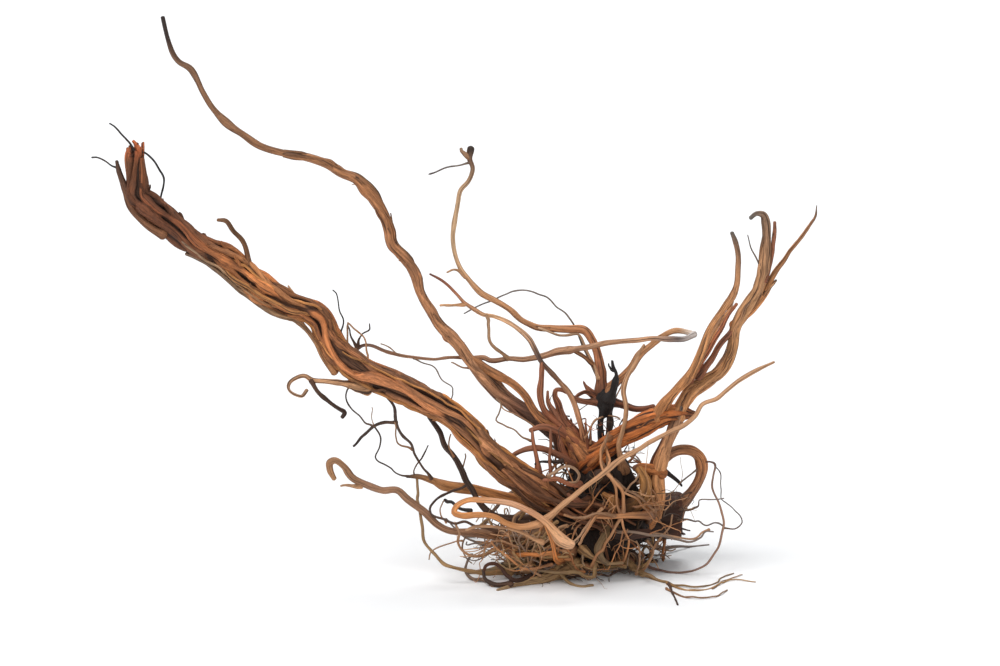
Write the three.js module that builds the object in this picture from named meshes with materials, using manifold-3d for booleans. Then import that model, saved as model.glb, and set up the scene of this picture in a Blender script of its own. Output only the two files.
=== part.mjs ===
// A dry root: one piece of azalea-type wood, all grown together. A dark stump holds a fused bundle
// that reaches up to the left, a tall single root, two arching roots, a cluster of straps on the
// right, a peeled hairpin root in front, and a tangle of rootlets that it stands on.
// Millimetres, +Z up, +X right, +Y to the back. The origin is on the surface it stands on,
// in the middle of its spread.
import * as THREE from "three";
import { mergeVertices } from "three/addons/utils/BufferGeometryUtils.js";
import Module from "manifold-3d";

const wasm = await Module();
wasm.setup();

// Driving dimensions.
const CENTRE_X = -1.5; // added to every route's x, so that the spread is centred on the origin
const RING_SPACING = 14; // from one ring of corners to the next, where the root runs straight
const BEND = 0.3; // radians of bend, and share of swelling, that need a ring sooner
const SWELLING = 0.3;
const TIP_SHARE = 0.5; // how far a tip stands past its last ring, in radii
const THICK = 6; // radii from which a root is drawn with 7, 6 or 5 sides, else 4
const MEDIUM = 2.2;
const THIN = 1.5;
const STRAND_REACH = 0.62; // from the bundle's line to a winding strand's line, in bundle radii
const STRAND_SIZE = 0.44; // a winding strand's radius, in bundle radii
const STRAND_TURNS = [[0.02, 0.4], [0.36, -0.34], [0.7, 0.42]]; // where each starts, how far it winds
const FLOOR_CUT = 60; // depth of the block that trims everything below the standing surface
const CUT_REACH = 400; // half the width of that block

// Each route is a root's line from its free tip to the wood that it grows from, and each of its
// points is x, y, z and the radius there.
const BUNDLE = {
  bundle: [
    [-221, 6, 301, 5.5], [-221, 6, 292, 6.8], [-220, 5, 279, 7.6], [-219, 5, 267, 8.8],
    [-212, 4, 259, 10], [-203, 3, 251, 10], [-190, 2, 241, 9.2], [-175, 1, 231, 9],
    [-160, 0, 223, 9.8], [-145, -2, 211, 10], [-130, -4, 200, 9.5], [-115, -5, 191, 9],
    [-103, -7, 188, 9], [-93, -8, 181, 9.5], [-87, -10, 168, 9.3], [-78, -12, 156, 9.8],
    [-64, -16, 147, 10], [-44, -20, 138, 10], [-20, -24, 127, 9], [0, -26, 116, 8.2],
    [20, -26, 94, 8.8], [40, -24, 74, 9.6], [60, -20, 63, 10], [82, -12, 54, 10],
  ],
  bundle_left_strand: [
    [-234, 7, 290, 1.4], [-232, 6, 283, 2.2], [-229, 5, 273, 2.6], [-226, 3, 263, 3],
    [-221, 1, 254, 3.2], [-212, -2, 246, 3.2], [-202, -2, 240, 3.2],
  ],
  bundle_low_strand: [
    [-186, 0, 226, 1.6], [-173, -3, 221, 1.8], [-162, -4, 213, 2.2], [-148, -6, 201, 2.4],
    [-134, -8, 190, 2.4], [-121, -9, 184, 2.4], [-110, -10, 181, 2.2], [-102, -11, 174, 2.2],
    [-96, -12, 165, 2.2], [-91, -13, 155, 2.4], [-83, -14, 145, 2.6],
  ],
  bundle_side_shoot: [
    [-163, -6, 251, 1.6], [-158, -6, 250, 2.2], [-153, -5, 243, 2.2], [-147, -4, 236, 2.2],
    [-143, -4, 225, 2.3], [-140, -4, 213, 3],
  ],
  bundle_spur: [[-115, -4, 204, 0.7], [-112, -5, 199, 1], [-109, -5, 193, 1.6]],
  loop_shoot: [
    [-102, -24, 134, 1.5], [-105, -27, 130, 1.5], [-109, -28, 131, 1.4], [-114, -26, 135, 1.4],
    [-114, -22, 139, 1.5], [-110, -18, 142, 1.5], [-104, -16, 142, 1.6], [-99, -16, 139, 1.8],
    [-89, -17, 138, 1.8], [-79, -18, 137, 2], [-70, -19, 136, 3], [-60, -20, 135, 4],
  ],
  loop_dark_shoot: [
    [-78, -12, 112, 1.6], [-76, -12, 115, 2], [-80, -14, 119, 1.6], [-87, -17, 125, 1.6],
    [-94, -20, 132, 1.7], [-99, -17, 139, 1.6],
  ],
};

const TALL_ROOTS = {
  tall_root: [
    [-204, 50, 385, 1.8], [-201, 50, 371, 2], [-197, 50, 359, 2.3], [-193, 49, 354, 2.4],
    [-185, 48, 349, 2.5], [-177, 47, 334, 2.6], [-168, 46, 320, 2.7], [-159, 45, 310, 3.8],
    [-149, 44, 303, 3.3], [-137, 44, 295, 3.2], [-120, 43, 290, 3.2], [-102, 42, 287, 3.6],
    [-90, 41, 283, 4], [-80, 40, 277, 4], [-69, 39, 272, 4], [-59, 38, 261, 4.6],
    [-50, 37, 248, 4.5], [-45, 36, 236, 4], [-43, 35, 226, 4.1], [-35, 34, 216, 4.1],
    [-28, 33, 206, 4.2], [-23, 32, 192, 4.3], [-17, 31, 181, 4.4], [-9, 30, 167, 4.8],
    [2, 28, 155, 5.2], [11, 26, 144, 5.6], [22, 23, 133, 6.2], [33, 20, 121, 6.2],
    [46, 16, 112, 6], [60, 12, 104, 6.2], [75, 9, 94, 8], [92, 6, 78, 10],
  ],
  tall_fork: [
    [14, 25, 144, 4], [30, 17, 136, 3.6], [42, 11, 130, 3.4], [50, 6, 123, 3.3],
    [56, 2, 114, 3.2], [62, -1, 107, 3.4], [72, -3, 102, 4], [82, -3, 93, 5], [92, -2, 80, 8],
  ],
  arch_root: [
    [12, 50, 292, 2.8], [11, 50, 285, 2], [13, 50, 278, 1.9], [10, 49, 269, 1.8],
    [5, 49, 262, 1.9], [2, 48, 249, 1.9], [0, 47, 237, 2], [-1, 46, 228, 2], [0, 45, 218, 2],
    [4, 44, 207, 2.1], [9, 43, 200, 2.2], [18, 42, 191, 2.7], [29, 41, 185, 2.7],
    [40, 39, 178, 2.7], [49, 38, 170, 2.7], [58, 36, 166, 2.8], [70, 34, 166, 2.9],
    [82, 31, 166, 3.2], [92, 29, 165, 3.4], [97, 27, 159, 3.5], [101, 25, 151, 3.8],
    [103, 23, 142, 4.5], [104, 21, 132, 5.2], [104, 20, 123, 6.5], [106, 19, 116, 8],
  ],
  arch_top_twig: [
    [-17, 44, 275, 0.8], [-12, 46, 277, 0.7], [-5, 47, 280, 0.7], [3, 48, 281, 0.7],
    [12, 50, 282, 1],
  ],
  arch_side_twig: [[-5, 40, 205, 0.7], [-1, 41, 207, 0.8], [3, 43, 206, 1], [8, 43, 201, 1.2]],
  arch_companion: [
    [60, 34, 166, 1], [69, 32, 163, 1], [79, 30, 162, 1], [88, 28, 163, 1], [92, 24, 157, 1],
    [95, 22, 149, 1], [99, 20, 141, 1.2], [102, 19, 133, 1.6],
  ],
  thin_arch: [
    [7, 46, 174, 0.6], [15, 46, 178, 0.7], [25, 46, 183, 0.7], [33, 46, 187, 0.7],
    [41, 45, 190, 0.7], [50, 44, 191, 0.7], [58, 43, 189, 0.7], [66, 42, 187, 0.7],
    [73, 40, 181, 0.7], [80, 38, 174, 0.8], [86, 36, 167, 0.8], [90, 34, 158, 0.9],
    [94, 30, 149, 1], [98, 26, 140, 1.2], [102, 22, 133, 1.5],
  ],
  second_arch: [
    [-16, -12, 214, 0.9], [-9, -11, 210, 1.3], [-3, -10, 205, 1.4], [2, -9, 199, 1.4],
    [7, -8, 193, 1.6], [14, -7, 188, 1.9], [21, -6, 184, 1.9], [28, -5, 183, 1.9],
    [36, -5, 180, 2], [45, -5, 174, 2], [52, -5, 167, 2.3], [57, -5, 159, 2.3],
    [62, -5, 150, 2.1], [68, -4, 143, 2.1], [75, -3, 135, 2.2], [81, -2, 127, 2.4],
    [85, -2, 117, 2.4], [88, -2, 106, 2.4], [91, 0, 95, 2.6], [96, 2, 80, 5],
  ],
  second_arch_side_twig: [[-9, -13, 192, 0.9], [0, -11, 191, 1], [8, -8, 192, 1.4]],
  second_arch_link: [
    [23, -6, 184, 1.4], [25, 1, 173, 1.2], [25, 7, 163, 1.2], [29, 13, 156, 1.3],
    [34, 19, 150, 1.3], [38, 24, 146, 1.5],
  ],
  second_arch_leg: [
    [62, -5, 149, 2], [61, -7, 139, 2], [61, -8, 129, 2.2], [63, -8, 119, 2.4],
    [69, -6, 110, 3], [78, -3, 98, 4], [90, 0, 84, 6],
  ],
  fan_left: [
    [66, -2, 128, 1.2], [67, -3, 119, 2.2], [72, -2, 110, 3], [79, -1, 100, 3.6],
    [88, 1, 86, 6],
  ],
  fan_loop: [
    [81, -2, 127, 1.8], [77, -1, 129, 1.8], [72, 0, 129, 1.8], [71, 2, 124, 1.8],
    [74, 3, 117, 2.4], [78, 3, 108, 3], [85, 4, 95, 5], [94, 5, 82, 7],
  ],
};

const STUMP_ROOTS = {
  stump_neck: [[106, 19, 120, 8], [107, 17, 108, 5.5], [106, 14, 96, 6], [105, 10, 80, 10]],
  stump_spike: [[112, 18, 144, 1], [115, 18, 137, 1.5], [112, 18, 129, 2.4], [108, 19, 121, 4]],
  stump_right_arm: [
    [141, 16, 113, 2.2], [129, 17, 111, 2.5], [118, 18, 114, 2.8], [107, 19, 116, 4],
  ],
  stump_left_arm: [[83, -1, 124, 2], [87, 5, 121, 2.1], [95, 13, 117, 2.2], [105, 18, 115, 3.5]],
  stump_loop_arm: [
    [84, 0, 122, 1.4], [88, 8, 124, 1.5], [93, 14, 124, 1.6], [100, 19, 120, 2.4],
    [106, 19, 118, 3],
  ],
  stump_left_spike: [[92, 22, 129, 0.9], [96, 21, 124, 2], [103, 20, 118, 3]],
  curved_root: [
    [169, 9, 167, 2.6], [163, 11, 168, 2.3], [155, 12, 168, 2.4], [147, 13, 164, 2.4],
    [139, 14, 157, 2.5], [131, 15, 150, 2.6], [125, 16, 142, 2.7], [119, 17, 135, 2.8],
    [113, 18, 129, 3.2], [108, 19, 120, 5],
  ],
  level_root: [
    [-69, 39, 150, 1.6], [-65, 40, 152, 1.4], [-59, 40, 152, 1.4], [-46, 40, 147, 1.4],
    [-31, 39, 144, 1.3], [-15, 38, 142, 1.2], [-3, 37, 144, 1.3], [10, 36, 144, 1.4],
    [21, 32, 145, 2.2], [26, 29, 144, 1.9], [38, 24, 146, 1.9], [52, 20, 147, 2.1],
    [66, 16, 150, 2.4], [74, 14, 153, 2.9], [88, 11, 156, 2.2], [102, 8, 160, 2],
    [120, 7, 162, 2], [138, 6, 164, 2], [152, 6, 164, 2.2], [162, 7, 164, 2.1],
    [169, 9, 167, 2.5],
  ],
  level_root_link: [[84, 12, 155, 1.8], [92, 15, 150, 1.5], [97, 20, 144, 1.7], [103, 22, 138, 2]],
  level_tip_fork: [[-75, 34, 167, 0.6], [-74, 36, 160, 0.7], [-69, 39, 150, 1.2]],
  level_tip_twig: [
    [-60, 33, 169, 0.5], [-60, 34, 165, 0.6], [-66, 36, 161, 0.6], [-69, 39, 150, 1.2],
  ],
  level_drop: [
    [-2, 12, 119, 0.5], [-1, 20, 125, 0.5], [-9, 30, 130, 0.6], [-14, 34, 138, 0.6],
    [-22, 37, 140, 0.6], [-29, 39, 143, 0.8],
  ],
  falling_root: [
    [134, 14, 158, 1], [130, 14, 151, 1.8], [126, 11, 144, 1.9], [122, 7, 136, 1.9],
    [120, 1, 128, 1.9], [121, -5, 119, 1.8], [120, -10, 110, 1.8], [118, -13, 101, 1.9],
    [116, -14, 93, 2], [117, -12, 84, 2], [119, -4, 72, 4],
  ],
};

const RIGHT_CLUSTER = {
  strap: [
    [168, -6, 112, 3], [162, -6, 113, 4.5], [154, -6, 113, 6], [143, -6, 110, 7],
    [130, -6, 103, 7.8], [118, -5, 96, 7.8], [107, -4, 88, 7.8], [95, -2, 76, 9],
  ],
  left_blade: [
    [193, -18, 244, 1.8], [196, -18, 237, 2.5], [198, -18, 228, 2.5], [198, -18, 218, 2.6],
    [197, -18, 208, 2.7], [194, -17, 199, 2.9], [188, -16, 190, 3.1], [182, -15, 181, 3.3],
    [177, -14, 171, 3.6], [173, -13, 161, 3.7], [169, -12, 150, 3.9], [164, -11, 140, 4],
    [157, -10, 132, 4], [150, -9, 124, 4.2], [142, -7, 111, 5],
  ],
  main_blade: [
    [207, 2, 251, 1.8], [211, 3, 254, 2], [216, 4, 253, 2.6], [218, 5, 246, 3.4],
    [218, 5, 234, 3.6], [217, 5, 221, 3.6], [216, 5, 209, 3.8], [213, 4, 199, 4],
    [207, 3, 190, 4.4], [201, 2, 181, 4.6], [197, 1, 172, 4.6], [195, 0, 161, 4.6],
    [191, -1, 150, 4.6], [185, -2, 141, 4.6], [176, -3, 135, 4.6], [167, -4, 129, 4.6],
    [161, -5, 121, 4.6], [157, -6, 112, 5],
  ],
  main_blade_rib: [[224, 7, 247, 1.4], [223, 7, 234, 1.8], [221, 7, 219, 1.8], [217, 6, 206, 2.4]],
  inner_strand: [
    [198, 2, 190, 1.2], [191, -2, 181, 1.6], [186, -4, 171, 2], [180, -6, 161, 2.2],
    [173, -7, 151, 2.3], [165, -8, 138, 3],
  ],
  middle_strand: [[196, 1, 172, 2], [188, -2, 163, 2.4], [181, -4, 153, 2.4], [171, -6, 140, 3]],
  right_spire: [
    [254, 16, 257, 0.5], [253, 15, 250, 1.2], [250, 15, 245, 1.6], [244, 14, 236, 1.8],
    [237, 13, 227, 1.9], [229, 12, 216, 2.1], [223, 10, 206, 2.4], [219, 9, 197, 2.9],
    [212, 7, 189, 3.4], [204, 5, 181, 3.6], [197, 3, 174, 3.6],
  ],
  right_spur: [[226, 11, 205, 1], [223, 10, 203, 1.6], [217, 8, 196, 2]],
  blade_twig: [[205, 0, 239, 0.5], [208, 1, 229, 0.6], [212, 3, 220, 0.8], [216, 5, 212, 1.2]],
  down_root: [
    [160, -6, 117, 4], [156, -8, 107, 4.2], [152, -9, 97, 4.2], [148, -10, 87, 4.3],
    [145, -10, 77, 4.6], [144, -9, 67, 4.2], [144, -6, 56, 3.8], [141, 0, 44, 5],
    [134, 6, 34, 8],
  ],
  side_stub: [[127, -16, 76, 2.4], [131, -15, 76, 3.3], [138, -13, 74, 3.6], [146, -10, 71, 4]],
  loop_root: [
    [146, -6, 80, 4], [153, 0, 82, 4], [160, 5, 84, 4], [168, 9, 83, 4.2], [174, 12, 78, 4.2],
    [176, 15, 69, 3.9], [174, 17, 60, 3.7], [170, 19, 51, 4], [164, 20, 43, 5], [155, 20, 35, 7],
  ],
  loop_dark_twig: [[161, 5, 58, 1], [158, 5, 61, 1.6], [153, 3, 66, 1.8], [146, -3, 73, 2]],
  loop_thin_twig: [[160, 5, 60, 0.6], [167, 9, 65, 0.6], [175, 14, 69, 1]],
};

const FRONT_HAIRPIN = {
  diagonal_root: [
    [223, -20, 153, 1.2], [211, -22, 148, 1.7], [199, -24, 141, 1.8], [189, -26, 134, 1.9],
    [183, -27, 129, 2.2], [173, -29, 125, 2], [168, -30, 117, 2], [160, -32, 111, 1.9],
    [150, -34, 107, 1.8], [138, -37, 101, 1.9], [127, -40, 95, 2], [115, -43, 88, 2.1],
    [103, -47, 80, 2.1], [92, -50, 72, 2.1], [82, -54, 64, 2.1], [73, -58, 58, 2.2],
    [65, -62, 52, 2.6], [57, -64, 48, 2.6], [48, -65, 47, 2.5], [38, -65, 49, 2.3],
    [28, -64, 54, 2.2], [16, -62, 55, 2.1], [6, -60, 54, 2.2], [1, -57, 55, 2.3],
    [3, -54, 59, 2.3], [9, -53, 62, 2.2], [18, -54, 63, 2.2], [29, -56, 63, 2.4],
    [40, -59, 62, 2.5], [50, -62, 59, 2.4], [59, -65, 56, 2.6], [66, -68, 52, 3.2],
    [71, -71, 47, 3.8], [76, -73, 42, 4.2], [82, -74, 38, 4.4], [86, -74, 36, 3.8],
  ],
  diagonal_stay: [[104, -47, 80, 1.8], [105, -32, 77, 2.6], [104, -14, 70, 5]],
  hairpin_foot: [
    [64, -65, 50, 2], [67, -64, 41, 2], [69, -60, 32, 2.2], [70, -55, 23, 2.2],
    [71, -48, 15, 2.4], [75, -38, 13, 3.4], [82, -26, 18, 5],
  ],
  hairpin_foot_left: [[70, -55, 22, 2], [61, -52, 21, 1.7], [53, -48, 20, 1.7], [44, -40, 18, 2],
    [40, -30, 20, 2.6]],
  knee_upper: [
    [105, -47, 80, 1.2], [102, -42, 87, 1.1], [102, -34, 92, 1.1], [105, -24, 96, 1.2],
    [110, -10, 96, 2],
  ],
  knee_inner: [[107, -45, 82, 1], [108, -36, 86, 1], [107, -24, 90, 1.2], [106, -10, 90, 2.4]],
  knee_lower: [
    [106, -46, 80, 1], [111, -44, 72, 1], [113, -42, 64, 1], [114, -41, 56, 1],
    [117, -40, 48, 1.4],
  ],
  knee_right: [
    [107, -46, 80, 1.2], [111, -44, 74, 1.2], [117, -41, 66, 1.2], [118, -40, 58, 1.3],
    [118, -40, 48, 1.6],
  ],
  knee_reach: [
    [117, -41, 66, 1], [126, -36, 60, 1], [133, -28, 51, 1.1], [139, -18, 45, 1.2],
    [144, -6, 45, 2],
  ],
  cross_root: [
    [77, -56, 53, 0.9], [84, -50, 49, 1], [92, -48, 49, 1.1], [101, -46, 49, 1.3],
    [110, -43, 48, 1.8], [118, -40, 48, 2.6], [127, -34, 47, 3.1], [136, -22, 44, 3.6],
    [138, -6, 38, 5],
  ],
  cross_drop: [
    [87, -71, 36, 1.1], [92, -60, 41, 1.2], [97, -53, 48, 1.3], [101, -47, 51, 1.5],
    [108, -44, 50, 1.6],
  ],
  node_leg_left: [
    [117, -40, 47, 1.4], [113, -41, 42, 1.1], [110, -42, 35, 1], [105, -44, 27, 1],
    [100, -45, 20, 1], [96, -42, 11, 1.3], [93, -32, 9, 2.4],
  ],
  node_leg_right: [
    [117, -39, 46, 1.2], [119, -39, 39, 1], [122, -38, 31, 0.9], [122, -36, 23, 0.9],
    [120, -33, 15, 1], [116, -26, 10, 2],
  ],
};

const LEFT_ROOTS = {
  hook_root: [
    [-84, -14, 68, 1.9], [-87, -14, 74, 2.5], [-87, -15, 80, 2.7], [-83, -16, 82, 2.6],
    [-77, -17, 78, 2.6], [-71, -18, 70, 3], [-61, -19, 65, 2.9], [-50, -21, 61, 2.7],
    [-39, -23, 62, 2.9], [-31, -25, 56, 3.2], [-21, -27, 48, 3.3], [-12, -29, 39, 3.3],
    [-3, -30, 35, 3.3], [12, -30, 34, 3.4], [27, -28, 31, 3.8], [42, -24, 28, 4.6],
    [58, -18, 27, 6], [75, -10, 31, 10],
  ],
  hook_twig: [[-79, -19, 64, 0.8], [-72, -18, 64, 1.2], [-65, -18, 64, 1.8]],
  orange_stub: [
    [-33, -4, 67, 1.2], [-25, -3, 67, 2.4], [-15, -2, 64, 3.1], [-7, -1, 60, 4.4],
    [2, 0, 58, 4.4], [12, 2, 56, 4], [25, 5, 52, 4.2], [42, 7, 47, 5], [60, 8, 44, 6.5],
    [80, 8, 44, 10],
  ],
  dark_leg: [
    [-17, -20, 114, 2], [-10, -16, 102, 2.3], [-6, -14, 92, 2.2], [0, -12, 84, 2.2],
    [5, -11, 75, 2.3], [9, -10, 66, 2.4], [13, -9, 58, 2.4], [18, -8, 49, 2.4],
    [27, -7, 40, 2.7], [42, -5, 35, 3.4], [60, -2, 34, 5],
  ],
  bundle_drop: [
    [-46, -20, 128, 1.3], [-41, -18, 120, 1.3], [-40, -15, 109, 1.3], [-36, -13, 99, 1.1],
    [-30, -12, 92, 1.1], [-26, -10, 84, 1], [-21, -8, 75, 1], [-16, -5, 66, 1.3],
  ],
  bundle_drop_arm: [
    [-70, -16, 92, 0.9], [-63, -15, 99, 1.1], [-56, -15, 106, 1.2], [-48, -14, 109, 1.1],
    [-40, -15, 109, 1.2],
  ],
  net_upper: [
    [-71, -15, 138, 0.8], [-75, -13, 126, 0.6], [-71, -12, 118, 0.6], [-65, -12, 113, 0.6],
    [-61, -13, 108, 0.6], [-56, -15, 106, 0.8],
  ],
  net_lower: [
    [-55, -14, 105, 0.7], [-51, -12, 98, 0.6], [-52, -10, 90, 0.6], [-55, -9, 82, 0.6],
    [-48, -8, 76, 0.6], [-40, -6, 70, 0.6], [-30, -4, 67, 0.9],
  ],
  net_short: [[-18, -10, 91, 0.5], [-22, -9, 82, 0.7], [-27, -6, 75, 0.6], [-28, -3, 67, 0.7]],
  under_root: [
    [-26, -4, 65, 1], [-25, -14, 56, 1.1], [-24, -24, 47, 1.2], [-22, -32, 38, 1.2],
    [-20, -38, 29, 1.1], [-12, -42, 20, 1.2], [-4, -44, 13, 1.3], [4, -44, 10, 1.3],
    [14, -41, 8, 1.4], [26, -36, 5, 1.7], [40, -30, 5, 2.4],
  ],
  dark_loop: [
    [9, -9, 62, 1.1], [-3, -12, 57, 1], [-12, -18, 54, 1], [-16, -24, 50, 1],
    [-14, -30, 46, 1], [-7, -36, 44, 1], [1, -40, 43, 1], [8, -41, 44, 1], [15, -40, 41, 1],
    [23, -36, 38, 1.2], [31, -30, 34, 1.6],
  ],
  dark_loop_drop: [
    [1, -40, 43, 0.9], [4, -40, 36, 0.9], [3, -39, 29, 1], [6, -38, 23, 1],
    [12, -37, 19, 1.2], [20, -34, 18, 1.4], [32, -28, 22, 2],
  ],
};

const FEET = {
  ring_upper: [
    [21, -46, 9, 1.5], [23, -48, 14, 1.6], [28, -50, 16, 1.7], [33, -52, 14, 1.8],
    [36, -54, 9, 1.8], [41, -54, 5, 1.9], [52, -46, 5, 2.2], [66, -34, 9, 3.6],
  ],
  ring_lower: [[21, -46, 10, 1.5], [22, -49, 5, 1.6], [29, -53, 2, 1.8], [40, -54, 3, 2]],
  curl_foot: [
    [13, -36, 19, 1.2], [10, -34, 13, 1.1], [9, -33, 6, 1.2], [14, -36, 1, 1.4],
    [22, -42, 2, 1.5], [28, -51, 1, 1.8],
  ],
  front_runner: [
    [31, -61, 0.4, 1.4], [40, -53, 0.9, 2], [52, -46, 1.6, 2.6], [66, -40, 3, 3.6],
    [82, -26, 8, 7],
  ],
  left_foot: [[10, -18, 0.2, 1.6], [24, -16, 0.8, 2.6], [40, -13, 5, 4.4], [60, -8, 15, 7],
    [78, -2, 26, 10]],
  heel: [[48, 8, 2, 3.4], [62, 6, 3.5, 6], [78, 4, 4.5, 7.5], [94, 2, 5, 7.5], [108, 2, 12, 7]],
  front_curl: [
    [97, -50, 0.6, 1.2], [88, -52, 0.7, 1.3], [80, -44, 2, 1.4], [74, -36, 8, 1.7],
    [78, -26, 16, 3],
  ],
  front_right_foot: [
    [197, -19, 0.5, 0.7], [189, -28, 0.6, 0.7], [184, -41, 0.6, 0.8], [177, -51, 0.7, 0.9],
    [168, -56, 0.7, 1], [158, -52, 0.8, 1.1], [148, -43, 0.9, 1.4], [140, -34, 1.2, 2],
    [131, -27, 3, 2.8], [118, -16, 12, 6],
  ],
  floor_runner: [
    [211, -41, 0.5, 0.6], [197, -36, 0.6, 0.7], [189, -41, 0.6, 0.8], [181, -54, 0.6, 0.8],
    [170, -63, 0.7, 0.9], [159, -60, 0.8, 1], [149, -46, 1, 1.2],
  ],
  floor_spur: [[154, -98, 0.5, 0.9], [152, -79, 0.6, 0.9], [150, -47, 0.9, 1.3]],
  right_whip: [
    [177, 14, 73, 1], [181, 10, 74, 0.9], [184, 5, 73, 1.1], [183, 0, 67, 1],
    [182, -5, 61, 1], [185, -10, 52, 1], [188, -14, 44, 1.1], [190, -17, 35, 1.2],
    [188, -19, 26, 1.2], [184, -20, 16, 1.1], [179, -20, 8, 1.1], [170, -20, 4, 1],
    [160, -19, 0.9, 1], [150, -16, 0.8, 1.1], [140, -11, 2, 1.4], [126, -4, 9, 4],
  ],
  whip_loop: [
    [184, 5, 73, 0.6], [188, 2, 68, 0.5], [189, -2, 58, 0.5], [188, -6, 51, 0.5],
    [192, -10, 49, 0.5], [198, -13, 45, 0.5], [203, -17, 37, 0.6], [198, -19, 33, 0.6],
    [190, -17, 33, 0.8],
  ],
  block_twig_high: [
    [190, -11, 53, 0.5], [180, -9, 52, 0.5], [173, -6, 51, 0.6], [173, -2, 45, 0.7],
    [168, 4, 41, 0.8], [158, 12, 39, 1],
  ],
  block_twig_low: [
    [190, -17, 34, 0.7], [184, -13, 36, 0.6], [178, -8, 33, 0.6], [172, -2, 34, 0.6],
    [166, 5, 33, 0.7], [157, 12, 32, 1],
  ],
  long_twig: [
    [182, -27, 33, 0.5], [177, -27, 33, 0.6], [172, -28, 29, 0.7], [166, -29, 26, 0.8],
    [157, -30, 28, 0.9], [145, -33, 31, 1], [130, -36, 34, 1], [115, -36, 36, 1.2],
    [104, -22, 38, 3],
  ],
  under_block: [
    [141, 2, 24, 2], [141, -4, 17, 1], [139, -10, 11, 1], [135, -14, 6, 1.1],
    [128, -15, 4, 1.6], [116, -10, 8, 4],
  ],
  block: [[161, 21, 32, 13.5], [158, 21, 32, 14], [146, 18, 32, 14], [128, 12, 34, 13]],
  right_foot: [[184, 58, 0.4, 1], [168, 50, 0.8, 1.8], [150, 36, 4, 3.6], [134, 20, 16, 7],
    [120, 10, 30, 9]],
  back_foot: [
    [120, 97, 0.4, 1.2], [112, 82, 0.8, 1.8], [104, 62, 3, 3], [98, 40, 12, 5],
    [96, 20, 24, 8],
  ],
  back_left_foot: [
    [14, 66, 0.4, 1.3], [28, 56, 1, 2.4], [46, 42, 6, 4], [66, 26, 16, 6], [80, 12, 28, 9],
  ],
  back_left_bow: [
    [6, 82, 0.5, 1.1], [15, 75, 2, 1.5], [21, 70, 13, 1.9], [30, 64, 29, 2.3],
    [44, 54, 41, 2.8], [60, 40, 46, 3.6], [80, 22, 48, 6],
  ],
  back_right_bow: [
    [134, 95, 0.5, 1], [137, 89, 6, 1.4], [140, 83, 22, 1.8], [142, 73, 38, 2.1],
    [140, 60, 48, 2.5], [132, 44, 52, 3.4], [116, 24, 50, 6],
  ],
  back_bow: [
    [84, 93, 0.5, 1], [80, 86, 5, 1.4], [76, 76, 18, 1.8], [78, 64, 32, 2.2],
    [86, 50, 42, 2.8], [96, 34, 46, 4], [102, 16, 48, 7],
  ],
};

const THREADS = {
  bundle_top_thread: [
    [-238, 5, 317, 0.7], [-232, 5, 311, 0.8], [-225, 4, 305, 0.9], [-221, 4, 298, 0.9],
  ],
  bundle_side_thread: [
    [-205, 4, 256, 0.9], [-203, 3, 267, 0.8], [-201, 3, 279, 0.8], [-204, 3, 285, 0.8],
    [-208, 4, 292, 0.8], [-213, 5, 296, 0.8], [-220, 6, 299, 0.9],
  ],
  bundle_left_thread: [
    [-251, 6, 293, 0.6], [-246, 6, 292, 0.6], [-240, 6, 289, 0.6], [-233, 6, 285, 0.8],
  ],
  bundle_thread: [
    [-84, -4, 201, 0.5], [-81, -4, 198, 0.5], [-80, -5, 187, 0.5], [-77, -6, 180, 0.6],
    [-79, -8, 171, 0.8],
  ],
};

// The stump that everything grows from, as rounded lumps: centre x, y, z and half sizes.
const STUMP_LUMPS = [
  [104, 8, 62, 24, 22, 22],
  [86, 0, 36, 28, 26, 22],
  [122, 10, 34, 22, 22, 22],
  [104, -4, 24, 28, 26, 18],
];

// How many corners each ring of a root gets, by its radius half way along.
function sidesFor(route) {
  const usual = route[Math.floor(route.length / 2)][3];
  if (usual >= THICK) return 7;
  if (usual >= MEDIUM) return 6;
  return usual >= THIN ? 5 : 4;
}

// A strand that winds round a root: its route, from the turns at which it starts and that it makes.
function strandRoute(route, [start, turns]) {
  return route.map(([x, y, z, radius], index) => {
    const before = route[Math.max(index - 1, 0)];
    const after = route[Math.min(index + 1, route.length - 1)];
    const run = new THREE.Vector2(after[0] - before[0], after[2] - before[2]).normalize();
    const angle = 2 * Math.PI * (start + (turns * index) / (route.length - 1));
    const outward = radius * STRAND_REACH * Math.sin(angle);
    const backward = radius * STRAND_REACH * Math.cos(angle);
    return [x - run.y * outward, y + backward, z + run.x * outward, radius * STRAND_SIZE];
  });
}

// Whether a ring is needed after the last one kept: the root has bent, swelled or run on far enough.
function isNeeded(ring, last) {
  const bend = ring.tangent.angleTo(last.tangent);
  const swelling = Math.abs(ring.radius / last.radius - 1);
  const gap = ring.centre.distanceTo(last.centre);
  return bend > BEND || swelling > SWELLING || gap > RING_SPACING;
}

// The rings of a route: their centres, radii and directions, along a smooth curve.
function ringsOf(route) {
  const points = route.map(([x, y, z]) => new THREE.Vector3(x + CENTRE_X, y, z));
  const curve = new THREE.CatmullRomCurve3(points, false, "centripetal");
  const spans = points.length - 1;
  const rings = [];
  for (let span = 0; span <= spans; span++) {
    const t = span / spans;
    const radius = route[span][3];
    const ring = { centre: curve.getPoint(t), tangent: curve.getTangent(t), radius };
    const isEnd = span === 0 || span === spans;
    if (isEnd || isNeeded(ring, rings.at(-1))) rings.push(ring);
  }
  return rings;
}

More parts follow.
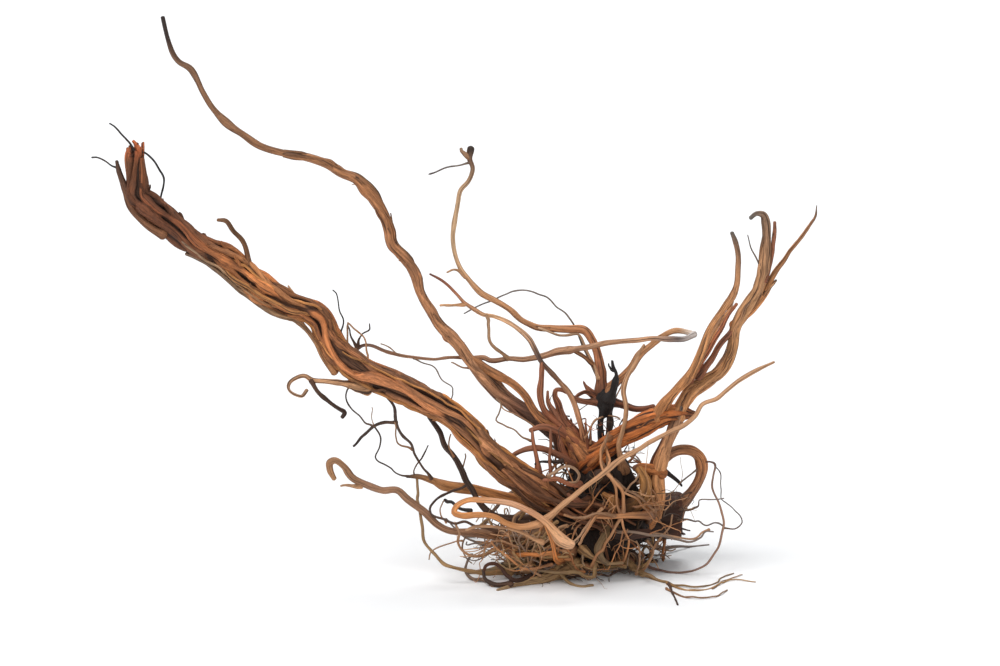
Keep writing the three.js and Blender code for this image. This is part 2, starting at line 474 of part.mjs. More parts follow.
// A closed tapering tube along a route, with a low point on each end.
function rootGeometry(route) {
  const rings = ringsOf(route);
  const sides = sidesFor(route);
  const positions = [];
  const indices = [];
  const normal = new THREE.Vector3(0, 1, 0);
  if (Math.abs(rings[0].tangent.y) > 0.8) normal.set(1, 0, 0);
  for (const { centre, tangent, radius } of rings) {
    normal.addScaledVector(tangent, -normal.dot(tangent)).normalize();
    const across = new THREE.Vector3().crossVectors(tangent, normal);
    for (let side = 0; side < sides; side++) {
      const angle = (2 * Math.PI * side) / sides;
      const corner = centre.clone();
      corner.addScaledVector(normal, radius * Math.cos(angle));
      corner.addScaledVector(across, radius * Math.sin(angle));
      positions.push(corner.x, corner.y, corner.z);
    }
  }
  const firstTip = rings.length * sides;
  const lastTip = firstTip + 1;
  for (const [ring, way] of [[rings[0], -1], [rings.at(-1), 1]]) {
    const tip = ring.centre.clone().addScaledVector(ring.tangent, way * TIP_SHARE * ring.radius);
    positions.push(tip.x, tip.y, tip.z);
  }
  for (let side = 0; side < sides; side++) {
    const next = (side + 1) % sides;
    for (let ring = 0; ring < rings.length - 1; ring++) {
      const a = ring * sides + side;
      const b = ring * sides + next;
      indices.push(a, b, b + sides, a, b + sides, a + sides);
    }
    const end = (rings.length - 1) * sides;
    indices.push(firstTip, next, side, lastTip, end + side, end + next);
  }
  const geometry = new THREE.BufferGeometry();
  geometry.setAttribute("position", new THREE.Float32BufferAttribute(positions, 3));
  geometry.setIndex(indices);
  return geometry;
}

// A rounded lump of the stump.
function lumpGeometry([x, y, z, halfX, halfY, halfZ]) {
  const ball = new THREE.IcosahedronGeometry(1, 2);
  ball.scale(halfX, halfY, halfZ);
  ball.translate(x + CENTRE_X, y, z);
  return ball;
}

// A closed three.js geometry as a manifold-3d solid.
function solidOf(geometry) {
  const bare = geometry.clone();
  bare.deleteAttribute("normal");
  bare.deleteAttribute("uv");
  const merged = mergeVertices(bare, 1e-4);
  return new wasm.Manifold(
    new wasm.Mesh({
      numProp: 3,
      vertProperties: new Float32Array(merged.attributes.position.array),
      triVerts: new Uint32Array(merged.index.array),
    }),
  );
}

// A manifold-3d solid as a three.js geometry.
function geometryOf(solid) {
  const mesh = solid.getMesh();
  const geometry = new THREE.BufferGeometry();
  geometry.setAttribute("position", new THREE.BufferAttribute(mesh.vertProperties, 3));
  geometry.setIndex(new THREE.BufferAttribute(mesh.triVerts, 1));
  geometry.computeVertexNormals();
  return geometry;
}

// All the wood joined into one piece and trimmed flat where it stands.
function wholeRoot() {
  const groups = [
    BUNDLE, TALL_ROOTS, STUMP_ROOTS, RIGHT_CLUSTER, FRONT_HAIRPIN, LEFT_ROOTS, FEET, THREADS,
  ];
  const strands = STRAND_TURNS.map((turn) => strandRoute(BUNDLE.bundle, turn));
  const routes = [...strands, ...groups.flatMap((group) => Object.values(group))];
  const pieces = [...STUMP_LUMPS.map(lumpGeometry), ...routes.map(rootGeometry)].map(solidOf);
  const joined = pieces.reduce((whole, piece) => whole.add(piece));
  const below = new THREE.BoxGeometry(2 * CUT_REACH, 2 * CUT_REACH, FLOOR_CUT);
  below.translate(0, 0, -FLOOR_CUT / 2);
  return geometryOf(joined.subtract(solidOf(below)));
}

const wood = new THREE.MeshStandardMaterial({ color: 0x9a6236, roughness: 0.8, metalness: 0 });
const root = new THREE.Mesh(wholeRoot(), wood);
root.name = "dry_root";

const part = new THREE.Group();
part.add(root);
export default part;
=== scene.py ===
"""A dry root of azalea-type driftwood: a fused bundle, arching roots and a tangle of rootlets."""

import math
from collections import namedtuple

import bpy
import numpy as np
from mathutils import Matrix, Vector


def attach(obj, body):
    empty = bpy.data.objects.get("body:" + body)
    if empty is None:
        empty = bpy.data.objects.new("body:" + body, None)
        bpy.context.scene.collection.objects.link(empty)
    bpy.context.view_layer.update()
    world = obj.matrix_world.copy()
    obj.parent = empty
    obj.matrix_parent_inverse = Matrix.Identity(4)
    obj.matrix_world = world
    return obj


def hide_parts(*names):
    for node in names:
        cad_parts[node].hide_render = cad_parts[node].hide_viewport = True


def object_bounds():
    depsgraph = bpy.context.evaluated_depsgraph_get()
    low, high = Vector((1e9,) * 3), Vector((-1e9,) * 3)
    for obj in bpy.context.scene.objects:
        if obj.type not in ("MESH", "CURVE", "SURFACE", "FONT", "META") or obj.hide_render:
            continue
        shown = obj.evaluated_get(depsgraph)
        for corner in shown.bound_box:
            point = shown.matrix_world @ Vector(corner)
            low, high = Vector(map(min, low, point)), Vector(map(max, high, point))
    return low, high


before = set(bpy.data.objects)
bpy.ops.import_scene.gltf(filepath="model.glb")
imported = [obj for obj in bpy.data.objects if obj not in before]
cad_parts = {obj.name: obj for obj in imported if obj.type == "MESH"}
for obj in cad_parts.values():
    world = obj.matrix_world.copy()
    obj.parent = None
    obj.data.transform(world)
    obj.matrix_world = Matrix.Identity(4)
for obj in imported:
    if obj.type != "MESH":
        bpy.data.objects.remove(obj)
CAD_BOX = [list(corner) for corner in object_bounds()]

# All lengths are in millimetres until a mesh is made.
MM = 0.001
TURN = 2 * math.pi
PHASES = 6.28  # random phases lie between 0 and this
CENTRE_X = -1.5  # added to every route's x
CROWN = np.array([100.0, 2.0, 42.0])  # the middle of the crown
CROWN_SIZE = np.array([44.0, 36.0, 42.0])  # its half sizes
BOX_LOW = np.array(CAD_BOX[0]) / MM
BOX_HIGH = np.array(CAD_BOX[1]) / MM

# Each group of roots draws its random numbers from a start of its own.
SEED = 20
DRAWS = {
    "bundle": 100, "bundle_strands": 130, "bundle_overlays": 140, "splinters": 160,
    "bundle_nubs": 170, "tall": 200, "tall_strands": 220, "tall_nubs": 230, "arches": 240,
    "stump": 300, "level": 320, "cluster": 400, "strap_strands": 440, "main_overlays": 450,
    "left_overlays": 460, "hairpin": 500, "left_roots": 600, "feet": 700, "block_nubs": 790,
    "threads": 800, "fine_roots": 820, "lumps": 900, "wraps": 1000, "fan": 1100, "splayed": 1150,
    "front": 1200, "front_net": 1250, "back": 1300, "back_feet": 1350, "left_curls": 1400,
    "base_mat": 1500, "upper_hairs": 1600, "right_hairs": 1700,
}


def rng_for(group, member=0):
    """The random numbers of a group, or of one of its members."""
    return np.random.default_rng(SEED + DRAWS[group] + member)


# Every root runs from its free tip to the wood that it grows from: x, y, z and radius.
BUNDLE = {
    "bundle": [[-221, 6, 301, 5.5], [-221, 6, 292, 6.8], [-220, 5, 279, 7.6], [-219, 5, 267, 8.8],
        [-212, 4, 259, 10], [-203, 3, 251, 10], [-190, 2, 241, 9.2], [-175, 1, 231, 9],
        [-160, 0, 223, 9.8], [-145, -2, 211, 10], [-130, -4, 200, 9.5], [-115, -5, 191, 9],
        [-103, -7, 188, 8.4], [-93, -8, 181, 8.7], [-87, -10, 168, 8.5], [-78, -12, 156, 8.9],
        [-64, -16, 147, 9.4], [-44, -20, 138, 10], [-20, -24, 127, 9], [0, -26, 116, 8.2],
        [20, -26, 94, 8.8], [40, -24, 75, 9.6], [60, -20, 61, 10], [78, -14, 46, 9]],
    "bundle_left_strand": [[-234, 7, 290, 1.4], [-232, 6, 283, 2.2], [-229, 5, 273, 2.6],
        [-226, 3, 263, 3], [-221, 1, 254, 3.2], [-212, -2, 246, 3.2], [-202, -2, 240, 3.2]],
    "bundle_low_strand": [[-186, 0, 226, 1.6], [-173, -3, 221, 1.8], [-162, -4, 213, 2.2],
        [-148, -6, 201, 2.4], [-134, -8, 190, 2.4], [-121, -9, 184, 2.4], [-110, -10, 181, 2.2],
        [-102, -11, 174, 2.2], [-96, -12, 165, 2.2], [-91, -13, 155, 2.4], [-83, -14, 145, 2.6]],
    "bundle_side_shoot": [[-163, -6, 251, 1.6], [-158, -6, 250, 2.2], [-153, -5, 243, 2.2],
        [-147, -4, 236, 2.2], [-143, -4, 225, 2.3], [-140, -4, 213, 3]],
    "bundle_spur": [[-115, -4, 204, 0.7], [-112, -5, 199, 1], [-109, -5, 193, 1.6]],
    "loop_shoot": [[-102, -24, 134, 1.5], [-105, -27, 130, 1.5], [-109, -28, 131, 1.4],
        [-114, -26, 135, 1.4], [-114, -22, 139, 1.5], [-110, -18, 142, 1.5], [-104, -16, 142, 1.6],
        [-99, -16, 139, 1.8], [-89, -17, 138, 1.8], [-79, -18, 137, 2], [-70, -19, 136, 3],
        [-60, -20, 135, 4]],
    "loop_dark_shoot": [[-78, -12, 112, 1.6], [-76, -12, 115, 2], [-80, -14, 119, 1.6],
        [-87, -17, 125, 1.6], [-94, -20, 132, 1.7], [-99, -17, 139, 1.6]],
}

TALL_ROOTS = {
    "tall_root": [[-204, 50, 385, 1.8], [-201, 50, 371, 2], [-197, 50, 359, 2.3],
        [-193, 49, 354, 2.4], [-185, 48, 349, 2.5], [-177, 47, 334, 2.6], [-168, 46, 320, 2.7],
        [-159, 45, 310, 3.8], [-149, 44, 303, 3.3], [-137, 44, 295, 3.2], [-120, 43, 290, 3.2],
        [-102, 42, 287, 3.6], [-90, 41, 283, 4], [-80, 40, 277, 4], [-69, 39, 272, 4],
        [-59, 38, 261, 4.6], [-50, 37, 248, 4.5], [-45, 36, 236, 4], [-43, 35, 226, 4.1],
        [-35, 34, 216, 4.1], [-28, 33, 206, 4.2], [-23, 32, 192, 4.3], [-17, 31, 181, 4.4],
        [-9, 30, 167, 4.8], [2, 28, 155, 5.2], [11, 26, 144, 5.6], [22, 23, 133, 6.2],
        [33, 20, 121, 6.2], [46, 16, 112, 6], [60, 12, 104, 6.2], [75, 9, 94, 8], [92, 6, 78, 10]],
    "tall_fork": [[14, 25, 144, 4], [30, 17, 136, 3.6], [42, 11, 130, 3.4], [50, 6, 123, 3.3],
        [56, 2, 114, 3.2], [62, -1, 107, 3.4], [72, -3, 102, 4], [82, -3, 93, 5], [92, -2, 80, 8]],
    "arch_root": [[12, 50, 292, 2.8], [11, 50, 285, 2], [13, 50, 278, 1.9], [10, 49, 269, 1.8],
        [5, 49, 262, 1.9], [2, 48, 249, 1.9], [0, 47, 237, 2], [-1, 46, 228, 2], [0, 45, 218, 2],
        [4, 44, 207, 2.1], [9, 43, 200, 2.2], [18, 42, 191, 2.7], [29, 41, 185, 2.7],
        [40, 39, 178, 2.7], [49, 38, 170, 2.7], [58, 36, 166, 2.8], [70, 34, 166, 2.9],
        [82, 31, 166, 3.2], [92, 29, 165, 3.4], [97, 27, 159, 3.5], [101, 25, 151, 3.8],
        [103, 23, 142, 4.5], [104, 21, 132, 5.2], [104, 20, 123, 6.5], [106, 19, 116, 8]],
    "arch_top_twig": [[-17, 44, 275, 0.8], [-12, 46, 277, 0.7], [-5, 47, 280, 0.7],
        [3, 48, 281, 0.7], [12, 50, 282, 1]],
    "arch_side_twig": [[-5, 40, 205, 0.7], [-1, 41, 207, 0.8], [3, 43, 206, 1], [8, 43, 201, 1.2]],
    "arch_companion": [[60, 34, 166, 1], [69, 32, 163, 1], [79, 30, 162, 1], [88, 28, 163, 1],
        [92, 24, 157, 1], [95, 22, 149, 1], [99, 20, 141, 1.2], [102, 19, 133, 1.6]],
    "thin_arch": [[7, 46, 174, 0.6], [15, 46, 178, 0.7], [25, 46, 183, 0.7], [33, 46, 187, 0.7],
        [41, 45, 190, 0.7], [50, 44, 191, 0.7], [58, 43, 189, 0.7], [66, 42, 187, 0.7],
        [73, 40, 181, 0.7], [80, 38, 174, 0.8], [86, 36, 167, 0.8], [90, 34, 158, 0.9],
        [94, 30, 149, 1], [98, 26, 140, 1.2], [102, 22, 133, 1.5]],
    "second_arch": [[-16, -12, 214, 0.9], [-9, -11, 210, 1.3], [-3, -10, 205, 1.4],
        [2, -9, 199, 1.4], [7, -8, 193, 1.6], [14, -7, 188, 1.9], [21, -6, 184, 1.9],
        [28, -5, 183, 1.9], [36, -5, 180, 2], [45, -5, 174, 2], [52, -5, 167, 2.3],
        [57, -5, 159, 2.3], [62, -5, 150, 2.1], [68, -4, 143, 2.1], [75, -3, 135, 2.2],
        [81, -2, 127, 2.4], [85, -2, 117, 2.4], [88, -2, 106, 2.4], [91, 0, 95, 2.6],
        [96, 2, 80, 5]],
    "second_arch_side_twig": [[-9, -13, 192, 0.9], [0, -11, 191, 1], [8, -8, 192, 1.4]],
    "second_arch_link": [[23, -6, 184, 1.4], [25, 1, 173, 1.2], [25, 7, 163, 1.2],
        [29, 13, 156, 1.3], [34, 19, 150, 1.3], [38, 24, 146, 1.5]],
    "second_arch_leg": [[62, -5, 149, 2], [61, -7, 139, 2], [61, -8, 129, 2.2], [63, -8, 119, 2.4],
        [69, -6, 110, 3], [78, -3, 98, 4], [90, 0, 84, 6]],
    "fan_left": [[66, -2, 128, 1.2], [67, -3, 119, 2.2], [72, -2, 110, 3], [79, -1, 100, 3.6],
        [88, 1, 86, 6]],
    "fan_loop": [[81, -2, 127, 1.8], [77, -1, 129, 1.8], [72, 0, 129, 1.8], [71, 2, 124, 1.8],
        [74, 3, 117, 2.4], [78, 3, 108, 3], [85, 4, 95, 5], [94, 5, 82, 7]],
}

STUMP_ROOTS = {
    "stump_neck": [[105, 18, 125, 3], [106, 16, 120, 5.8], [107, 15, 114, 6.3],
        [106, 15, 109.5, 4.4], [103.5, 14, 105, 2.2], [103, 13, 98, 1.9], [104, 12, 88, 2.6],
        [105, 10, 76, 8]],
    "stump_spike": [[111.5, 9, 147.5, 0.9], [112, 9, 143.5, 1.4], [114.4, 8, 138.5, 1.3],
        [114, 8, 133, 2.7], [112.5, 9, 126, 2.6], [109, 12, 119, 4.2]],
    "stump_spike_fork": [[109, 9, 145.5, 0.5], [110.8, 9, 143.1, 0.8], [112.4, 9, 140.6, 1]],
    "stump_neck_right": [[108.5, 16, 112, 3], [110, 15, 107, 2], [110.5, 14, 101, 2.7],
        [109, 13, 93, 2.2], [107, 11, 82, 4], [106, 10, 76, 6]],
    "stump_right_arm": [[141, 16, 113, 2.2], [129, 17, 111, 2.5], [118, 18, 114, 2.8],
        [107, 19, 116, 4]],
    "stump_left_arm": [[83, -1, 124, 2], [87, 5, 121, 2.1], [95, 13, 117, 2.2],
        [105, 18, 115, 3.5]],
    "stump_loop_arm": [[84, 0, 122, 1.4], [88, 8, 124, 1.5], [93, 14, 124, 1.6],
        [100, 19, 120, 2.4], [106, 19, 118, 3]],
    "stump_left_spike": [[92, 22, 129, 0.9], [96, 21, 124, 2], [103, 20, 118, 3]],
    "curved_root": [[169, 9, 167, 2.6], [163, 11, 168, 2.3], [155, 12, 168, 2.4],
        [147, 13, 164, 2.4], [139, 14, 157, 2.5], [131, 15, 150, 2.6], [125, 16, 142, 2.7],
        [119, 17, 135, 2.8], [113, 18, 129, 3.2], [108, 19, 120, 5]],
    "level_root": [[-69, 39, 150, 1.6], [-65, 40, 152, 1.4], [-59, 40, 152, 1.4],
        [-46, 40, 147, 1.4], [-31, 39, 144, 1.3], [-15, 38, 142, 1.2], [-3, 37, 144, 1.3],
        [10, 36, 144, 1.4], [21, 32, 145, 2.2], [26, 29, 144, 1.9], [38, 24, 146, 1.9],
        [52, 20, 147, 2.1], [66, 16, 150, 2.4], [74, 14, 153, 2.9], [88, 11, 156, 2.2],
        [102, 8, 160, 2], [120, 7, 162, 2], [138, 6, 164, 2], [152, 6, 164, 2.2],
        [162, 7, 164, 2.1], [169, 9, 167, 2.5]],
    "level_root_link": [[84, 12, 155, 1.8], [92, 15, 150, 1.5], [97, 20, 144, 1.7],
        [103, 22, 138, 2]],
    "level_tip_fork": [[-75, 34, 167, 0.6], [-74, 36, 160, 0.7], [-69, 39, 150, 1.2]],
    "level_tip_twig": [[-60, 33, 169, 0.5], [-60, 34, 165, 0.6], [-66, 36, 161, 0.6],
        [-69, 39, 150, 1.2]],
    "level_drop": [[-2, 12, 119, 0.5], [-1, 20, 125, 0.5], [-9, 30, 130, 0.6], [-14, 34, 138, 0.6],
        [-22, 37, 140, 0.6], [-29, 39, 143, 0.8]],
    "falling_root": [[134, 14, 158, 1], [130, 14, 151, 1.8], [126, 11, 144, 1.9],
        [122, 7, 136, 1.9], [120, 1, 128, 1.9], [121, -5, 119, 1.8], [120, -10, 110, 1.8],
        [118, -13, 101, 1.9], [116, -14, 93, 2], [117, -12, 84, 2], [119, -4, 72, 4]],
}

RIGHT_CLUSTER = {
    "strap": [[168, -6, 112, 3], [162, -6, 113, 4.5], [154, -6, 113, 6], [143, -6, 110, 7],
        [130, -6, 103, 7.8], [118, -5, 96, 7.8], [107, -4, 88, 7.8], [95, -2, 76, 9]],
    "left_blade": [[193, -18, 244, 1.8], [196, -18, 237, 2.5], [198, -18, 228, 2.5],
        [198, -18, 218, 2.6], [197, -18, 208, 2.7], [194, -17, 199, 2.9], [188, -16, 190, 3.1],
        [182, -15, 181, 3.3], [177, -14, 171, 3.6], [173, -13, 161, 3.7], [169, -12, 150, 3.9],
        [164, -11, 140, 4], [157, -10, 132, 4], [150, -9, 124, 4.2], [142, -7, 111, 5]],
    "main_blade": [[207, 2, 251, 1.8], [211, 3, 254, 2], [216, 4, 253, 2.6], [218, 5, 246, 3.4],
        [218, 5, 234, 3.6], [217, 5, 221, 3.6], [216, 5, 209, 3.8], [213, 4, 199, 4],
        [207, 3, 190, 4.4], [201, 2, 181, 4.6], [197, 1, 172, 4.6], [195, 0, 161, 4.6],
        [191, -1, 150, 4.6], [185, -2, 141, 4.6], [176, -3, 135, 4.6], [167, -4, 129, 4.6],
        [161, -5, 121, 4.6], [157, -6, 112, 5]],
    "main_blade_rib": [[224, 7, 247, 1.4], [223, 7, 234, 1.8], [221, 7, 219, 1.8],
        [217, 6, 206, 2.4]],
    "inner_strand": [[198, 2, 190, 1.2], [191, -2, 181, 1.6], [186, -4, 171, 2],
        [180, -6, 161, 2.2], [173, -7, 151, 2.3], [165, -8, 138, 3]],
    "middle_strand": [[196, 1, 172, 2], [188, -2, 163, 2.4], [181, -4, 153, 2.4],
        [171, -6, 140, 3]],
    "right_spire": [[254, 16, 257, 0.5], [253, 15, 250, 1.2], [250, 15, 245, 1.6],
        [244, 14, 236, 1.8], [237, 13, 227, 1.9], [229, 12, 216, 2.1], [223, 10, 206, 2.4],
        [219, 9, 197, 2.9], [212, 7, 189, 3.4], [204, 5, 181, 3.6], [197, 3, 174, 3.6]],
    "right_spur": [[226, 11, 205, 1], [223, 10, 203, 1.6], [217, 8, 196, 2]],
    "blade_twig": [[205, 0, 239, 0.5], [208, 1, 229, 0.6], [212, 3, 220, 0.8], [216, 5, 212, 1.2]],
    "down_root": [[160, -6, 117, 4], [156, -8, 107, 4.2], [152, -9, 97, 4.2], [148, -10, 87, 4.3],
        [145, -10, 77, 4.6], [144, -9, 67, 4.2], [144, -6, 56, 3.8], [141, 0, 44, 5],
        [134, 6, 34, 8]],
    "side_stub": [[127, -16, 76, 2.4], [131, -15, 76, 3.3], [138, -13, 74, 3.6], [146, -10, 71, 4]],
    "loop_root": [[146, -6, 80, 4], [153, 0, 82, 4], [160, 5, 84, 4], [168, 9, 83, 4.2],
        [174, 12, 78, 4.2], [176, 15, 69, 3.9], [174, 17, 60, 3.7], [170, 19, 51, 4],
        [164, 20, 43, 5], [155, 20, 35, 7]],
    "loop_dark_twig": [[161, 5, 58, 1], [158, 5, 61, 1.6], [153, 3, 66, 1.8], [146, -3, 73, 2]],
    "loop_thin_twig": [[160, 5, 60, 0.6], [167, 9, 65, 0.6], [175, 14, 69, 1]],
}

FRONT_HAIRPIN = {
    "diagonal_root": [[223, -20, 153, 1.2], [211, -22, 148, 1.7], [199, -24, 141, 1.8],
        [189, -26, 134, 1.9], [183, -27, 129, 2.2], [173, -29, 125, 2], [168, -30, 117, 2],
        [160, -32, 111, 1.9], [150, -34, 107, 1.8], [138, -37, 101, 1.9], [127, -40, 95, 2],
        [115, -43, 88, 2.1], [103, -47, 80, 2.1], [92, -50, 72, 2.1], [82, -54, 64, 2.1],
        [73, -58, 58, 2.2], [65, -62, 52, 2.6], [57, -64, 48, 2.6], [48, -65, 47, 2.5],
        [38, -65, 49, 2.3], [28, -64, 54, 2.2], [16, -62, 55, 2.1], [6, -60, 54, 2.2],
        [1, -57, 55, 2.3], [3, -54, 59, 2.3], [9, -53, 62, 2.2], [18, -54, 63, 2.2],
        [29, -56, 63, 2.4], [40, -59, 62, 2.5], [50, -62, 58.5, 2.5], [59, -65, 54.5, 2.6],
        [65, -68, 50.5, 3], [69, -70, 46, 3.6], [74, -72, 40.5, 4.1], [79, -73, 37.5, 4.3],
        [81.5, -73, 36.5, 4]],
    "diagonal_stay": [[104, -47, 80, 1.8], [105, -32, 77, 2.6], [104, -14, 70, 5]],
    "hairpin_foot": [[64, -65, 50, 2], [67, -64, 42, 2], [69, -60, 34, 2.1], [70, -55, 26, 2],
        [71, -48, 19.5, 2.2], [75, -38, 16, 3.2], [82, -26, 18, 5]],
    "hairpin_foot_left": [[70, -54, 25, 1.8], [61, -52, 23, 1.6], [53, -48, 22.5, 1.6],
        [44, -40, 20, 2], [40, -30, 20, 2.6]],
    "knee_upper": [[105, -47, 80, 1.2], [102, -42, 87, 1.1], [102, -34, 92, 1.1],
        [105, -24, 96, 1.2], [110, -10, 96, 2]],
    "knee_inner": [[107, -45, 82, 1], [108, -36, 86, 1], [107, -24, 90, 1.2], [106, -10, 90, 2.4]],
    "knee_lower": [[106, -46, 80, 1], [111, -44, 72, 1], [113, -42, 64, 1], [114, -41, 56, 1],
        [117, -40, 48, 1.4]],
    "knee_right": [[107, -46, 80, 1.2], [111, -44, 74, 1.2], [117, -41, 66, 1.2],
        [118, -40, 58, 1.3], [118, -40, 48, 1.6]],
    "knee_reach": [[117, -41, 66, 1], [126, -36, 60, 1], [133, -28, 51, 1.1], [139, -18, 45, 1.2],
        [144, -6, 45, 2]],
    "cross_root": [[77, -56, 53, 0.9], [84, -50, 49, 1], [92, -48, 49, 1.1], [101, -46, 49, 1.3],
        [110, -43, 48, 1.8], [118, -40, 48, 2.6], [127, -34, 47, 3.1], [136, -22, 44, 3.6],
        [138, -6, 38, 5]],
    "cross_drop": [[87, -71, 36, 1.1], [92, -60, 41, 1.2], [97, -53, 48, 1.3], [101, -47, 51, 1.5],
        [108, -44, 50, 1.6]],
    "node_leg_left": [[117, -40, 47, 1.4], [113, -41, 42, 1.1], [110, -42, 35, 1],
        [105, -44, 27, 1], [100, -45, 20, 1], [96, -42, 11, 1.3], [93, -32, 9, 2.4]],
    "node_leg_right": [[117, -39, 46, 1.2], [119, -39, 39, 1], [122, -38, 31, 0.9],
        [122, -36, 23, 0.9], [120, -33, 15, 1], [116, -26, 10, 2]],
}

LEFT_ROOTS = {
    "hook_root": [[-84, -14, 68, 1.9], [-87, -14, 74, 2.5], [-87, -15, 80, 2.7],
        [-83, -16, 82, 2.6], [-77, -17, 78, 2.6], [-71, -18, 70, 3], [-61, -19, 65, 2.9],
        [-50, -21, 61, 2.7], [-39, -23, 62, 2.9], [-31, -25, 56, 3.2], [-21, -27, 48, 3.3],
        [-12, -29, 39, 3.3], [-3, -30, 35, 3.3], [12, -30, 34, 3.4], [27, -28, 31, 3.8],
        [42, -24, 28, 4.6], [58, -18, 27, 6], [75, -10, 31, 10]],
    "hook_twig": [[-79, -19, 64, 0.8], [-72, -18, 64, 1.2], [-65, -18, 64, 1.8]],
    "orange_stub": [[-33, -4, 67, 1.2], [-25, -3, 67, 2.4], [-15, -2, 64, 3.1], [-7, -1, 60, 4.4],
        [2, 0, 58, 4.4], [12, 2, 56, 4], [25, 5, 52, 4.2], [42, 7, 47, 5], [60, 8, 44, 6.5],
        [80, 8, 44, 10]],
    "dark_leg": [[-17, -20, 114, 2], [-10, -16, 102, 2.3], [-6, -14, 92, 2.2], [0, -12, 84, 2.2],
        [5, -11, 75, 2.3], [9, -10, 66, 2.4], [13, -9, 58, 2.4], [18, -8, 49, 2.4],
        [27, -7, 40, 2.7], [42, -5, 35, 3.4], [60, -2, 34, 5]],
    "bundle_drop": [[-46, -20, 128, 1.3], [-41, -18, 120, 1.3], [-40, -15, 109, 1.3],
        [-36, -13, 99, 1.1], [-30, -12, 92, 1.1], [-26, -10, 84, 1], [-21, -8, 75, 1],
        [-16, -5, 66, 1.3]],
    "bundle_drop_arm": [[-70, -16, 92, 0.9], [-63, -15, 99, 1.1], [-56, -15, 106, 1.2],
        [-48, -14, 109, 1.1], [-40, -15, 109, 1.2]],
    "net_upper": [[-71, -15, 138, 0.8], [-75, -13, 126, 0.6], [-71, -12, 118, 0.6],
        [-65, -12, 113, 0.6], [-61, -13, 108, 0.6], [-56, -15, 106, 0.8]],
    "net_lower": [[-55, -14, 105, 0.7], [-51, -12, 98, 0.6], [-52, -10, 90, 0.6],
        [-55, -9, 82, 0.6], [-48, -8, 76, 0.6], [-40, -6, 70, 0.6], [-30, -4, 67, 0.9]],
    "net_short": [[-18, -10, 91, 0.5], [-22, -9, 82, 0.7], [-27, -6, 75, 0.6], [-28, -3, 67, 0.7]],
    "under_root": [[-26, -4, 65, 1], [-25, -14, 56, 1.1], [-24, -24, 47, 1.2], [-22, -32, 38, 1.2],
        [-20, -38, 29, 1.1], [-12, -42, 20, 1.2], [-4, -44, 13, 1.3], [4, -44, 10, 1.3],
        [14, -41, 8, 1.4], [26, -36, 5, 1.7], [40, -30, 5, 2.4]],
    "dark_loop": [[9, -9, 62, 1.1], [-3, -12, 57, 1], [-12, -18, 54, 1], [-16, -24, 50, 1],
        [-14, -30, 46, 1], [-7, -36, 44, 1], [1, -40, 43, 1], [8, -41, 44, 1], [15, -40, 41, 1],
        [23, -36, 38, 1.2], [31, -30, 34, 1.6]],
    "dark_loop_drop": [[1, -40, 43, 0.9], [4, -40, 36, 0.9], [3, -39, 29, 1], [6, -38, 23, 1],
        [12, -37, 19, 1.2], [20, -34, 18, 1.4], [32, -28, 22, 2]],
}

